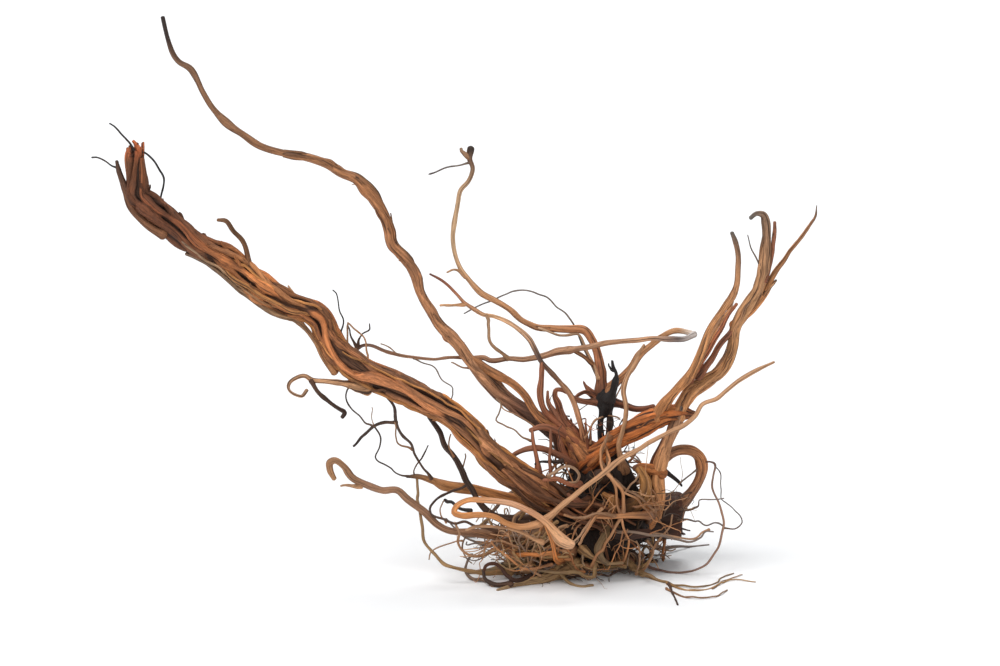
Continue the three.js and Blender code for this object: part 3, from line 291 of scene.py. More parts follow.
FEET = {
    "ring_upper": [[21, -46, 9, 1.2], [23, -48, 14, 1.3], [28, -50, 16, 1.4], [33, -52, 14, 1.4],
        [36, -54, 9, 1.4], [41, -54, 5, 1.6], [52, -46, 5, 2.0], [66, -34, 9, 3.2]],
    "ring_lower": [[21, -46, 10, 1.5], [22, -49, 5, 1.6], [29, -53, 2, 1.8], [40, -54, 3, 2]],
    "curl_foot": [[13, -36, 19, 1.2], [10, -34, 13, 1.1], [9, -33, 6, 1.2], [14, -36, 1, 1.4],
        [22, -42, 2, 1.5], [28, -51, 1, 1.8]],
    "front_runner": [[31, -61, 0.4, 1.4], [40, -53, 0.9, 2], [52, -46, 1.6, 2.6], [66, -40, 3, 3.6],
        [82, -26, 8, 7]],
    "left_foot": [[10, -18, 0.2, 1.6], [24, -16, 0.8, 2.6], [40, -13, 5, 4.4], [60, -8, 15, 7],
        [78, -2, 26, 10]],
    "heel": [[48, 8, 2, 3.4], [62, 6, 3.5, 6], [78, 4, 4.5, 7.5], [94, 2, 5, 7.5], [108, 2, 12, 7]],
    "front_curl": [[97, -50, 0.6, 1.2], [88, -52, 0.7, 1.3], [80, -44, 2, 1.4], [74, -36, 8, 1.7],
        [78, -26, 16, 3]],
    "front_right_foot": [[197, -19, 0.5, 0.7], [189, -28, 0.6, 0.7], [184, -41, 0.6, 0.8],
        [177, -51, 0.7, 0.9], [168, -56, 0.7, 1], [158, -52, 0.8, 1.1], [148, -43, 0.9, 1.4],
        [140, -34, 1.2, 2], [131, -27, 3, 2.8], [118, -16, 12, 6]],
    "floor_runner": [[211, -41, 0.5, 0.6], [197, -36, 0.6, 0.7], [189, -41, 0.6, 0.8],
        [181, -54, 0.6, 0.8], [170, -63, 0.7, 0.9], [159, -60, 0.8, 1], [149, -46, 1, 1.2]],
    "floor_spur": [[154, -98, 0.5, 0.9], [152, -79, 0.6, 0.9], [150, -47, 0.9, 1.3]],
    "right_whip": [[177, 14, 73, 1], [181, 10, 74, 0.9], [184, 5, 73, 1.1], [183, 0, 67, 1],
        [182, -5, 61, 1], [185, -10, 52, 1], [188, -14, 44, 1.1], [190, -17, 35, 1.2],
        [188, -19, 26, 1.2], [184, -20, 16, 1.1], [179, -20, 8, 1.1], [170, -20, 4, 1],
        [160, -19, 0.9, 1], [150, -16, 0.8, 1.1], [140, -11, 2, 1.4], [126, -4, 9, 4]],
    "whip_loop": [[184, 5, 73, 0.6], [188, 2, 68, 0.5], [189, -2, 58, 0.5], [188, -6, 51, 0.5],
        [192, -10, 49, 0.5], [198, -13, 45, 0.5], [203, -17, 37, 0.6], [198, -19, 33, 0.6],
        [190, -17, 33, 0.8]],
    "block_twig_high": [[190, -11, 53, 0.5], [180, -9, 52, 0.5], [173, -6, 51, 0.6],
        [173, -2, 45, 0.7], [168, 4, 41, 0.8], [158, 12, 39, 1]],
    "block_twig_low": [[190, -17, 34, 0.7], [184, -13, 36, 0.6], [178, -8, 33, 0.6],
        [172, -2, 34, 0.6], [166, 5, 33, 0.7], [157, 12, 32, 1]],
    "long_twig": [[182, -27, 33, 0.5], [177, -27, 33, 0.6], [172, -28, 29, 0.7],
        [166, -29, 26, 0.8], [157, -30, 28, 0.9], [145, -33, 31, 1], [130, -36, 34, 1],
        [115, -36, 36, 1.2], [104, -22, 38, 3]],
    "under_block": [[141, 2, 24, 2], [141, -4, 17, 1], [139, -10, 11, 1], [135, -14, 6, 1.1],
        [128, -15, 4, 1.6], [116, -10, 8, 4]],
    "block": [[161, 21, 32, 13.5], [158, 21, 32, 14], [146, 18, 32, 14], [128, 12, 34, 13]],
    "right_foot": [[184, 58, 0.4, 1], [168, 50, 0.8, 1.8], [150, 36, 4, 3.6], [134, 20, 16, 7],
        [120, 10, 30, 9]],
    "back_foot": [[120, 97, 0.4, 1.2], [112, 82, 0.8, 1.8], [104, 62, 3, 3], [98, 40, 12, 5],
        [96, 20, 24, 8]],
    "back_left_foot": [[14, 66, 0.4, 1.3], [28, 56, 1, 2.4], [46, 42, 6, 4], [66, 26, 16, 6],
        [80, 12, 28, 9]],
    "back_left_bow": [[6, 82, 0.5, 1.1], [15, 75, 2, 1.5], [21, 70, 13, 1.9], [30, 64, 29, 2.3],
        [44, 54, 41, 2.8], [60, 40, 46, 3.6], [80, 22, 48, 6]],
    "back_right_bow": [[134, 95, 0.5, 1], [137, 89, 6, 1.4], [140, 83, 22, 1.8], [142, 73, 38, 2.1],
        [140, 60, 48, 2.5], [132, 44, 52, 3.4], [116, 24, 50, 6]],
    "back_bow": [[84, 93, 0.5, 1], [80, 86, 5, 1.4], [76, 76, 18, 1.8], [78, 64, 32, 2.2],
        [86, 50, 42, 2.8], [96, 34, 46, 4], [102, 16, 48, 7]],
}

THREADS = {
    "bundle_top_thread": [[-238, 5, 317, 0.7], [-232, 5, 311, 0.8], [-225, 4, 305, 0.9],
        [-221, 4, 298, 0.9]],
    "bundle_side_thread": [[-205, 4, 256, 0.9], [-203, 3, 267, 0.8], [-201, 3, 279, 0.8],
        [-204, 3, 285, 0.8], [-208, 4, 292, 0.8], [-213, 5, 296, 0.8], [-220, 6, 299, 0.9]],
    "bundle_left_thread": [[-251, 6, 293, 0.6], [-246, 6, 292, 0.6], [-240, 6, 289, 0.6],
        [-233, 6, 285, 0.8]],
    "bundle_thread": [[-84, -4, 201, 0.5], [-81, -4, 198, 0.5], [-80, -5, 187, 0.5],
        [-77, -6, 180, 0.6], [-79, -8, 171, 0.8]],
}
# The wood inside the crown, as rounded lumps: centre x, y, z and half sizes.
STUMP_LUMPS = [
    [104, 8, 62, 24, 22, 22], [86, 0, 36, 28, 26, 22], [122, 10, 34, 22, 22, 22],
    [104, -4, 24, 28, 26, 18],
]

# Roots, rootlets and twigs that the solid model leaves out.
FINE_ROOTS = {
    "hairpin_inner": [[9, -56, 42, 0.8], [15, -58, 45, 1.2], [26, -60, 46, 1.2], [40, -62, 44, 1.2],
        [52, -63, 40, 1.2], [62, -63, 35, 1.6]],
    "twig_under_tall": [[30, 14, 119, 0.6], [33, 12, 116, 0.6], [32, 10, 109, 0.6],
        [30, 8, 105, 0.6], [36, 6, 102, 0.6], [41, 4, 100, 0.6], [46, 2, 96, 0.7],
        [54, 0, 92, 0.8]],
    "twig_under_tall_b": [[33, 12, 116, 0.6], [36, 8, 112, 0.6], [45, 5, 109, 0.6],
        [52, 3, 105, 0.7], [58, 2, 100, 0.8]],
    "level_parallel": [[-52, 32, 155, 0.5], [-46, 33, 152, 0.5], [-40, 34, 147, 0.5],
        [-34, 36, 145, 0.6]],
    "level_under": [[-2, 34, 141, 0.6], [4, 32, 139, 0.6], [12, 28, 138, 0.8]],
    "bundle_top_twig": [[-74, 4, 176, 0.8], [-74, 0, 166, 0.8], [-75, -6, 156, 1]],
    "bundle_top_twig_b": [[-74, 4, 176, 0.8], [-67, 2, 170, 0.7], [-62, -2, 164, 0.7],
        [-60, -10, 152, 0.9]],
    "bundle_hook": [[3, -24, 104, 0.5], [-1, -22, 108, 0.5], [0, -24, 113, 0.6], [4, -26, 111, 0.6],
        [1, -30, 107, 0.8]],
    "net_a": [[-57, -12, 119, 0.4], [-57, -13, 112, 0.4], [-55, -15, 106, 0.5]],
    "net_b": [[-41, -16, 109, 0.7], [-41, -12, 97, 0.7], [-37, -10, 91, 0.7], [-29, -10, 88, 0.9]],
    "dark_leg_twig": [[-2, -14, 100, 0.6], [-3, -16, 92, 0.6], [0, -14, 84, 0.8]],
    "dark_leg_twig_b": [[8, -6, 84, 0.5], [7, -10, 76, 0.6], [6, -11, 72, 0.8]],
    "under_twig": [[-17, -42, 17, 0.5], [-16, -42, 22, 0.6], [-8, -42, 27, 0.6], [0, -42, 29, 0.6],
        [6, -40, 30, 0.7]],
    "loop_cross": [[-6, -12, 52, 0.6], [-9, -24, 50, 0.6], [-8, -34, 46, 0.6], [-5, -36, 42, 0.7]],
    "loop_dark": [[-6, -12, 52, 1.4], [-2, -22, 53, 1.4], [4, -32, 52, 1.4], [12, -34, 50, 1.5]],
    "neck_root_a": [[103, -2, 109, 0.6], [99, -6, 108, 0.6], [95, -8, 101, 0.6], [92, -8, 96, 0.7]],
    "neck_root_b": [[105, 6, 108, 0.6], [97, 2, 103, 0.6], [96, -2, 90, 0.8]],
    "neck_root_c": [[119, 20, 130, 0.6], [117, 18, 124, 0.6], [112, 18, 115, 0.6],
        [104, 16, 106, 0.7]],
    "neck_root_d": [[117, 8, 106, 0.6], [110, 12, 108, 0.6], [104, 14, 107, 0.7]],
    "ring_loop": [[66, -36, 76, 0.9], [70, -38, 79, 1], [78, -40, 83, 1], [85, -41, 81, 1],
        [88, -41, 77, 1], [86, -40, 72, 1], [80, -38, 71, 1], [72, -37, 73, 1], [66, -36, 75, 1.1]],
    "ring_band": [[63, -34, 72, 1.4], [72, -37, 74, 2], [80, -38, 71, 2], [88, -38, 70, 2.4]],
    "crown_left_a": [[37, -12, 81, 1.2], [45, -14, 87, 1.8], [53, -15, 90, 2.2], [60, -15, 90, 2.4],
        [71, -14, 86, 2.4], [84, -10, 78, 3]],
    "crown_left_b": [[55, -14, 103, 1.4], [56, -16, 94, 1.8], [58, -18, 84, 2], [60, -20, 72, 3]],
    "crown_left_c": [[54, -10, 102, 2], [62, -8, 104, 2.5], [74, -6, 100, 3], [86, -2, 90, 4]],
    "crown_left_d": [[68, -18, 104, 1], [68, -20, 94, 1.5], [67, -22, 84, 1.5], [68, -24, 74, 2]],
    "crown_dark_a": [[57, -20, 80, 0.8], [66, -20, 82, 1], [76, -18, 82, 1.4]],
    "crown_right_a": [[108, -22, 103, 0.9], [104, -24, 93, 1], [103, -26, 85, 1],
        [106, -28, 79, 1.1], [108, -28, 74, 1.2]],
    "crown_right_b": [[107, -24, 90, 0.9], [108, -26, 82, 0.9], [108, -28, 76, 1]],
    "knot_left": [[78, -50, 51, 0.9], [90, -52, 50, 1], [100, -50, 52, 1], [112, -44, 49, 1.3]],
    "knot_down_left": [[84, -52, 33, 0.9], [88, -53, 36, 1], [92, -52, 42, 1.1], [97, -50, 50, 1.1],
        [103, -48, 55, 1.2]],
    "knot_up_right": [[112, -38, 74, 0.9], [119, -38, 67, 1], [128, -36, 62, 1], [134, -32, 55, 1],
        [141, -26, 47, 1.2]],
    "knot_up_right_b": [[129, -36, 77, 0.7], [124, -38, 70, 0.7], [119, -40, 64, 0.8]],
    "block_left": [[136, -20, 31, 0.8], [149, -18, 28, 0.7], [159, -16, 25, 0.7],
        [169, -14, 25, 0.7], [175, -12, 29, 0.7], [180, -10, 30, 0.8]],
    "block_ring": [[154, -8, 40, 0.8], [152, -14, 34, 0.8], [147, -18, 29, 0.8],
        [142, -22, 23, 0.8], [139, -24, 18, 1]],
    "lower_fall_a": [[128, -30, 27, 0.7], [130, -32, 18, 0.7], [130, -33, 10, 0.7],
        [128, -30, 3, 0.9]],
    "lower_fall_b": [[136, -24, 26, 0.9], [140, -26, 19, 0.9], [137, -28, 11, 0.9],
        [132, -26, 4, 1.1]],
    "base_runner_a": [[59, -42, 9, 1], [74, -44, 8, 1.4], [87, -45, 9, 1.5], [92, -46, 6, 1.4],
        [98, -47, 6, 1.4], [99, -42, 14, 1.6]],
    "olive_root": [[108, -42, 14, 2], [104, -43, 17, 2.7], [101, -42, 24, 2.8], [105, -36, 31, 3.4],
        [110, -26, 36, 5]],
    "brown_log": [[138, -24, 31, 2.2], [136, -28, 32, 3.2], [129, -32, 33, 3.4],
        [119, -33, 32, 3.4], [109, -30, 34, 4]],
    "low_log": [[118, -40, 14, 1.2], [109, -42, 14, 1.5], [99, -42, 17, 1.7], [90, -34, 22, 3]],
    "floor_spray_a": [[190, -62, 0.6, 0.5], [184, -74, 0.6, 0.6], [174, -82, 0.7, 0.6],
        [160, -80, 0.8, 0.7], [148, -60, 1, 0.9]],
    "floor_spray_b": [[203, -22, 0.5, 0.4], [196, -30, 0.6, 0.5], [188, -40, 0.6, 0.5],
        [180, -58, 0.7, 0.6]],
    "cluster_thread": [[166, 4, 118, 0.5], [176, 6, 130, 0.6], [184, 8, 142, 0.6],
        [190, 6, 152, 0.7]],
    "cluster_gap_a": [[172, -2, 146, 0.9], [167, -3, 134, 1], [160, -5, 121, 1.4]],
    "tip_nub": [[5, 50, 292, 1.2], [8, 50, 289, 1.4], [11, 50, 286, 1.6]],
    # A second root behind the down root, darkened as painted shade for the down root's shaded side.
    "down_root_shaded_twin": [[153, -3, 102, 2.4], [147, -3, 91, 3.1], [142, -3, 80, 3.2],
        [139, -2, 70, 3.4], [136, 0, 58, 4.4]],
    "crown_knot_right": [[130, -20, 76, 2.6], [134, -23, 67, 4.4], [132, -24, 57, 4.8],
        [124, -18, 48, 6]],
    "crown_knot_mid": [[105, -30, 61, 2], [111, -32, 56, 3.4], [110, -30, 50, 3.8],
        [104, -20, 46, 6]],
    "crown_knot_left": [[80, -28, 60, 1.8], [86, -30, 56, 3], [92, -28, 52, 3.2], [98, -18, 48, 5]],
}

# ---------------------------------------------------------------- colours and looks

# Colours along a root from its tip (0) to its base (1).
TONES = {
    "bark": [(0, (150, 102, 66)), (1, (152, 98, 60))],
    "bundle": [(0, (176, 94, 54)), (0.014, (146, 80, 48)), (0.026, (112, 68, 42)),
        (0.1, (97, 56, 35)), (0.2, (112, 67, 42)), (0.3, (164, 104, 62)), (0.42, (152, 95, 57)),
        (0.62, (134, 87, 57)), (0.8, (158, 104, 68)), (1, (130, 80, 49))],
    "bundle_bright": [(0, (176, 118, 66)), (1, (180, 118, 68))],
    "bundle_dark": [(0, (74, 54, 44)), (0.5, (102, 68, 48)), (1, (120, 80, 54))],
    "bundle_low": [(0, (120, 96, 78)), (0.5, (146, 112, 82)), (1, (152, 104, 68))],
    "tall": [(0, (44, 36, 34)), (0.03, (64, 50, 46)), (0.07, (112, 82, 62)), (0.2, (139, 100, 72)),
        (0.45, (156, 105, 69)), (0.6, (160, 110, 76)), (0.8, (168, 120, 86)), (0.87, (112, 76, 58)),
        (0.93, (74, 54, 44)), (1, (84, 58, 42))],
    "second": [(0, (112, 72, 62)), (0.1, (160, 104, 78)), (0.3, (191, 152, 118)),
        (0.46, (171, 137, 113)), (0.54, (84, 66, 60)), (0.64, (110, 80, 62)),
        (0.78, (180, 134, 102)), (1, (140, 88, 60))],
    "cross": [(0, (170, 122, 86)), (0.5, (164, 110, 70)), (1, (120, 82, 56))],
    "knot": [(0, (164, 112, 62)), (0.5, (136, 92, 50)), (1, (84, 56, 34))],
    "foot": [(0, (186, 122, 72)), (0.5, (196, 118, 60)), (1, (120, 84, 58))],
    "arch": [(0, (62, 50, 44)), (0.03, (116, 88, 70)), (0.12, (173, 141, 111)),
        (0.3, (190, 157, 124)), (0.45, (176, 130, 94)), (0.7, (172, 120, 82)),
        (0.88, (150, 96, 66)), (1, (78, 52, 42))],
    "red": [(0, (148, 94, 68)), (0.5, (146, 88, 60)), (1, (122, 72, 48))],
    "straw": [(0, (174, 133, 100)), (1, (164, 119, 84))],
    "peeled": [(0, (156, 108, 88)), (0.12, (180, 132, 98)), (0.34, (196, 150, 108)),
        (0.6, (208, 162, 116)), (0.85, (206, 158, 114)), (1, (212, 170, 138))],
    "blade": [(0, (98, 88, 80)), (0.06, (126, 94, 72)), (0.25, (166, 118, 82)),
        (0.6, (180, 126, 82)), (1, (172, 114, 70))],
    "strap": [(0, (112, 70, 46)), (0.2, (170, 100, 51)), (1, (160, 92, 46))],
    "olive": [(0, (136, 108, 78)), (0.5, (144, 112, 76)), (1, (132, 98, 62))],
    "block": [(0, (70, 40, 27)), (0.4, (54, 33, 24)), (1, (36, 25, 19))],
    "hook": [(0, (152, 110, 76)), (0.25, (136, 99, 74)), (0.6, (130, 93, 68)), (1, (122, 88, 60))],
    "whip": [(0, (92, 72, 64)), (0.35, (136, 105, 88)), (0.6, (118, 92, 80)), (0.85, (96, 72, 64)),
        (1, (84, 62, 52))],
    "hairpin": [(0, (174, 133, 100)), (0.54, (169, 125, 90)), (0.62, (172, 118, 74)),
        (0.73, (185, 121, 68)), (0.78, (183, 126, 79)), (0.84, (182, 138, 108)),
        (0.9, (170, 121, 90)), (0.95, (184, 135, 96)), (1, (192, 148, 114))],
    "loop": [(0, (130, 88, 60)), (0.4, (184, 118, 72)), (0.75, (160, 108, 74)), (1, (84, 58, 43))],
    "grey": [(0, (98, 86, 80)), (0.5, (112, 94, 82)), (1, (118, 94, 76))],
    "dark": [(0, (60, 46, 40)), (0.5, (70, 52, 42)), (1, (86, 60, 44))],
    "black": [(0, (34, 29, 28)), (1, (40, 33, 30))],
    "pale_tip": [(0, (206, 192, 184)), (0.07, (196, 172, 152)), (0.14, (176, 130, 92)),
        (1, (160, 108, 72))],
    "level": [(0, (98, 72, 62)), (0.1, (144, 103, 78)), (0.86, (172, 126, 93)),
        (0.95, (110, 96, 90)), (1, (200, 188, 180))],
    "orange": [(0, (60, 46, 38)), (0.12, (150, 104, 66)), (0.5, (184, 122, 72)),
        (1, (146, 92, 56))],
    "rootlet": [(0, (150, 117, 91)), (1, (142, 102, 72))],
}
BLEACH = np.array([1.2, 1.22, 1.22])  # lightens every tone
# The colour of the crown's core lumps, near black: painted shade for the crown's dark hollows.
CORE_SHADE_COLOUR = (42, 28, 21)

# How a route differs from its group's usual look, and the routes that share it.
LOOKS = {name: look for look, names in [
    (dict(tone="dark"),
     "loop_dark_shoot diagonal_stay dark_leg bundle_drop bundle_drop_arm net_upper net_lower "
     "net_short dark_loop"),
    (dict(tone="cross", knobs=0.5),
     "knee_upper knee_inner knee_lower knee_right knee_reach cross_drop node_leg_left "
     "node_leg_right"),
    (dict(tone="straw"),
     "loop_shoot arch_side_twig arch_companion second_arch_side_twig second_arch_link "
     "falling_root hairpin_inner hook_twig"),
    (dict(tone="red"),
     "stump_right_arm stump_left_arm stump_loop_arm main_blade_rib inner_strand middle_strand "
     "ring_band"),
    (dict(tone="grey"),
     "thin_arch level_drop loop_thin_twig block_twig_high block_twig_low long_twig"),
    (dict(tone="black"), "stump_neck loop_dark_twig loop_dark crown_dark_a"),
    (dict(tone="olive"), "under_root base_runner_a low_log"),
    (dict(tone="red", flare=0, shade=0.8), "crown_left_a crown_left_b crown_left_d"),
    (dict(tone="dark", tip="point"), "level_tip_fork level_tip_twig"),
    (dict(tone="foot"), "hairpin_foot hairpin_foot_left"),
    (dict(tone="grey", tip="point"), "arch_top_twig blade_twig"),
    (dict(tone="knot", strands=5, depth=0.9, knobs=2), "crown_knot_right crown_knot_mid"),
    (dict(tone="red", depth=0.9, wiggle=1.5), "second_arch_leg fan_left"),
    (dict(tone="arch", flare=-0.35), "arch_root"),
    (dict(tone="bark", flare=0.2), "tall_fork"),
    (dict(tone="bark", slim=0.6, wiggle=2, shade=0.8), "back_bow"),
    (dict(tone="bark", slim=0.66, wiggle=1.8, shade=0.8), "back_left_foot"),
    (dict(tone="bark", strands=3, shade=0.72), "bundle_side_shoot"),
    (dict(tone="black", tip="broken"), "stump_spike"),
    (dict(tone="black", tip="point"), "stump_spike_fork"),
    (dict(tone="blade", strands=3, depth=0.7), "left_blade"),
    (dict(tone="blade", strands=4, depth=0.9), "main_blade"),
    (dict(tone="blade", strands=5, slim=0.98), "down_root"),
    (dict(tone="blade", tip="point"), "right_spire"),
    (dict(tone="block", knobs=0.5), "ring_upper"),
    (dict(tone="block", shade=1.1), "brown_log"),
    (dict(tone="block", slim=0.62, wiggle=1.8, shade=1.3), "back_foot"),
    (dict(tone="block", strands=7, depth=0.6, tip="sawn", square=0.15, flare=0, twist=0.0),
     "block"),
    (dict(tone="bundle_dark"), "bundle_left_strand"),
    (dict(tone="bundle_dark", strands=11, depth=1.0, tip="broken", flare=0.1, knobs=0), "bundle"),
    (dict(tone="bundle_low"), "bundle_low_strand"),
    (dict(tone="cross", flare=0), "cross_root"),
    (dict(tone="dark", knobs=0.5), "ring_lower"),
    (dict(tone="dark", shade=0.8, knobs=2), "stump_neck_right"),
    (dict(tone="dark", slim=0.7), "floor_spur"),
    (dict(tone="dark", slim=0.75), "whip_loop"),
    (dict(tone="grey", knobs=0.5), "curl_foot"),
    (dict(tone="grey", slim=0.42, wiggle=2.4), "right_foot"),
    (dict(tone="grey", slim=0.66, wiggle=2), "back_left_bow"),
    (dict(tone="hairpin", flare=0), "diagonal_root"),
    (dict(tone="hook"), "hook_root"),
    (dict(tone="level", flare=0.2), "level_root"),
    (dict(tone="loop"), "loop_root"),
    (dict(tone="olive", shade=0.62), "olive_root"),
    (dict(tone="olive", shade=0.85, slim=0.66), "front_right_foot"),
    (dict(tone="olive", slim=0.66), "floor_runner"),
    (dict(tone="orange"), "orange_stub"),
    (dict(tone="pale_tip"), "curved_root"),
    (dict(tone="red", depth=0.8, wiggle=1.3), "fan_loop"),
    (dict(tone="red", flare=0, shade=0.7), "crown_left_c"),
    # The down root's twin is darkened to 0.6 as painted shade.
    (dict(tone="red", shade=0.6, strands=3), "down_root_shaded_twin"),
    (dict(tone="red", strands=4, depth=0.9, knobs=2, shade=0.7), "crown_knot_left"),
    (dict(tone="red", tip="point"), "stump_left_spike"),
    (dict(tone="rootlet"), "dark_loop_drop"),
    (dict(tone="rootlet", slim=0.66, wiggle=2), "back_right_bow"),
    (dict(tone="second"), "second_arch"),
    (dict(tone="strap"), "side_stub"),
    (dict(tone="strap", strands=8, depth=1.2, tip="broken", flare=0.1), "strap"),
    (dict(tone="tall", strands=4, depth=0.5, flare=0.1), "tall_root"),
    (dict(tone="whip", slim=0.68), "right_whip"),
] for name in names.split()}


def linear(colour):
    """Linear light values of an 8-bit sRGB colour."""
    c = np.asarray(colour, float) / 255
    return np.where(c <= 0.04045, c / 12.92, ((c + 0.055) / 1.055) ** 2.4)


def tone_at(name, t):
    """A tone's colours at some shares of a root's length."""
    stops = TONES[name]
    places = [stop[0] for stop in stops]
    colours = np.array([linear(stop[1]) for stop in stops]) * BLEACH
    return np.stack([np.interp(t, places, colours[:, k]) for k in range(3)], axis=1)


# ---------------------------------------------------------------- curves

FINER = 1.5  # how much finer a curve is sampled than the points taken from it


def hermite(p0, p1, m0, m1, t):
    t2, t3 = t * t, t * t * t
    return (
        (2 * t3 - 3 * t2 + 1) * p0 + (t3 - 2 * t2 + t) * m0
        + (3 * t2 - 2 * t3) * p1 + (t3 - t2) * m1
    )


def smooth_path(route, step):
    """Evenly spaced points with radii on a centripetal curve through a route, and arc lengths."""
    table = np.asarray(route, float)
    at, radius = table[:, :3], table[:, 3]
    ends = np.vstack([2 * at[0] - at[1], at, 2 * at[-1] - at[-2]])
    gap = np.sqrt(np.maximum(np.linalg.norm(np.diff(ends, axis=0), axis=1), 1e-6))
    spans = []
    for k in range(len(at) - 1):
        p0, p1, p2, p3 = ends[k:k + 4]
        d0, d1, d2 = gap[k:k + 3]
        m1 = ((p1 - p0) / d0 - (p2 - p0) / (d0 + d1) + (p2 - p1) / d1) * d1
        m2 = ((p2 - p1) / d1 - (p3 - p1) / (d1 + d2) + (p3 - p2) / d2) * d1
        count = max(3, int(FINER * d1 * d1 / step))
        t = np.linspace(0, 1, count, endpoint=False)[:, None]
        swell = radius[k] + (radius[k + 1] - radius[k]) * t * t * (3 - 2 * t)
        spans.append(np.hstack([hermite(p1, p2, m1, m2, t), swell]))
    spans.append(table[-1:, :4])
    dense = np.vstack(spans)
    run = np.concatenate([[0], np.cumsum(np.linalg.norm(np.diff(dense[:, :3], axis=0), axis=1))])
    along = np.linspace(0, run[-1], max(5, int(round(run[-1] / step)) + 1))
    points = np.stack([np.interp(along, run, dense[:, k]) for k in range(4)], axis=1)
    return points, along


def turning_frames(points):
    """Unit tangents, and two unit vectors across them that turn as little as they can."""
    tangent = np.gradient(points[:, :3], axis=0)
    tangent /= np.linalg.norm(tangent, axis=1)[:, None]
    across = np.empty_like(tangent)
    held = np.array([0.0, 1.0, 0.0]) if abs(tangent[0, 1]) < 0.8 else np.array([1.0, 0.0, 0.0])
    for k, ahead in enumerate(tangent):
        held = held - ahead * held.dot(ahead)
        held /= math.sqrt(held.dot(held))
        across[k] = held
    return tangent, across, np.cross(tangent, across)


def drift(rng, along, wavelength, waves=3):
    """A smooth random curve between -1 and 1."""
    total = np.zeros_like(along)
    for _ in range(waves):
        pitch = wavelength * rng.uniform(0.5, 1.7)
        total += np.sin(along * (TURN / pitch) + rng.uniform(0, TURN))
    return total / waves


def crooked(rng, along, pitch):
    """A random line of straight runs between -1 and 1, with its corners a little rounded."""
    count = int(along[-1] / pitch) + 4
    places = np.cumsum(rng.uniform(0.4, 1.6, count)) * pitch - pitch
    line = np.interp(along, places, rng.uniform(-1, 1, count))
    line[1:-1] = (line[:-2] + 2 * line[1:-1] + line[2:]) / 4
    return line


def swellings(rng, along, gap, wide):
    """Knots at random places along a root, each from 0 to about 1 high."""
    total = np.zeros_like(along)
    for _ in range(int(along[-1] / gap) + 1):
        at = rng.uniform(0, along[-1])
        height = rng.uniform(0.3, 1)
        total += height * np.exp(-((along - at) / (wide * rng.uniform(0.7, 1.8))) ** 2)
    return total


# ---------------------------------------------------------------- one root

# How finely a root is drawn: its least radius, corners round it, and length between rings.
DETAIL = [
    (6, 72, 1.3), (2.8, 36, 1.2), (1.8, 26, 1.2), (1.0, 16, 1.2), (0.6, 10, 1.3), (0, 7, 1.5),
]
THICK, MEDIUM, THIN = 6, 3, 1.4  # radii that part thick, medium, thin and finest roots
SLENDER = 1.6  # the radius up to which a root is most crooked
SLIM = 0.87  # what is left of a thin root's thickness without its bark
KNOT_GAP = 30  # mean length between a root's knots
KNOT_HEIGHT = 0.16  # of a knot, and of the swaying thickness, as shares of the radius
SWAY_HEIGHT = 0.06
RIDGE_HEIGHT = 0.055
STRAND_SHARE = 0.52  # how far out strands lie, as a share of a root's radius
STRAND_EDGE = 1.02  # how far out their outsides lie
CORE_SHARE = 0.74  # the radius between strands
SHARPNESS = 48  # of the creases where strands meet
CREASE_REACH = 0.035  # how far to each side a crease is felt for, as a share of the girth
# Creases between ridges and strands get painted shade.
CREASE_LEAST, CREASE_FULL = 0.006, 0.07  # depths where a crease starts to darken, and is dark
# Strands inside a bundle get painted shade below the bundle's outside.
BURIED_FROM, BURIED_RANGE = 0.93, 0.22  # where darkness starts inside a bundle, and its extent
# Painted shade inside the crown: where it starts and its extent, the colour left at its middle, and
# its warm tint of painted bounce light.
GLOOM_FROM, GLOOM_RANGE = 0.5, 0.65  # the same inside the crown, in its half sizes
GLOOM_LEAST = 0.2  # the share of light left in its middle
GLOOM_TINT = np.array([0.92, 1.12, 1.28])  # powers that make the light there warmer
APART = 400  # how far off a root's grain may start from another's

# Rings past an end: how far out, how wide, both in radii, and how ragged.
CAPS = {
    "round": [(0.30, 0.92, 0), (0.55, 0.72, 0), (0.72, 0.40, 0), (0.78, 0.08, 0)],
    "point": [(0.5, 0.8, 0), (1.1, 0.5, 0), (1.7, 0.22, 0), (2.0, 0.05, 0)],
    "broken": [(0.25, 0.97, 0.5), (0.45, 0.8, 0.8), (0.15, 0.5, 0.8), (0.1, 0.06, 0.1)],
    "sawn": [(0.06, 0.95, 0.08), (0.1, 0.7, 0.14), (0.08, 0.35, 0.1), (0.07, 0.05, 0.04)],
}

# A root's grid of vertices, with its material's values at each, its arc lengths and its girth.
Tube = namedtuple("Tube", "grid grain tint cavity along girth")


def strand_profile(rng, theta, along, twist, count, depth):
    """The outline of a root made of fused strands, and which strand shows at each corner."""
    rows = len(along)
    share = STRAND_SHARE + 0.014 * count * depth
    angles = np.empty((rows, count))
    reach = np.empty((rows, count))
    size = np.empty((rows, count))
    for k in range(count):
        angles[:, k] = TURN * (k + rng.normal(0, 0.2)) / count
        angles[:, k] += (1.6 / count) * drift(rng, along, 90)
        reach[:, k] = share * (1 + depth * (0.07 * drift(rng, along, 70) + rng.normal(0, 0.05)))
        size[:, k] = 1 + 0.2 * drift(rng, along, 60) + rng.normal(0, 0.1)
    size *= STRAND_EDGE - share
    angles += twist[:, None]
    turn = theta[None, :, None] - angles[:, None, :]
    side = reach[:, None, :] * np.sin(turn)
    inside = size[:, None, :] ** 2 - side ** 2
    ahead = reach[:, None, :] * np.cos(turn)
    core = CORE_SHARE + (1 - CORE_SHARE) * (1 - min(depth, 1))
    out = np.where((inside > 0) & (ahead > 0), ahead + np.sqrt(np.maximum(inside, 0)), 0.5)
    heaped = np.exp(SHARPNESS * out).sum(axis=2) + math.exp(SHARPNESS * core)
    return np.log(heaped) / SHARPNESS, out.argmax(axis=2)


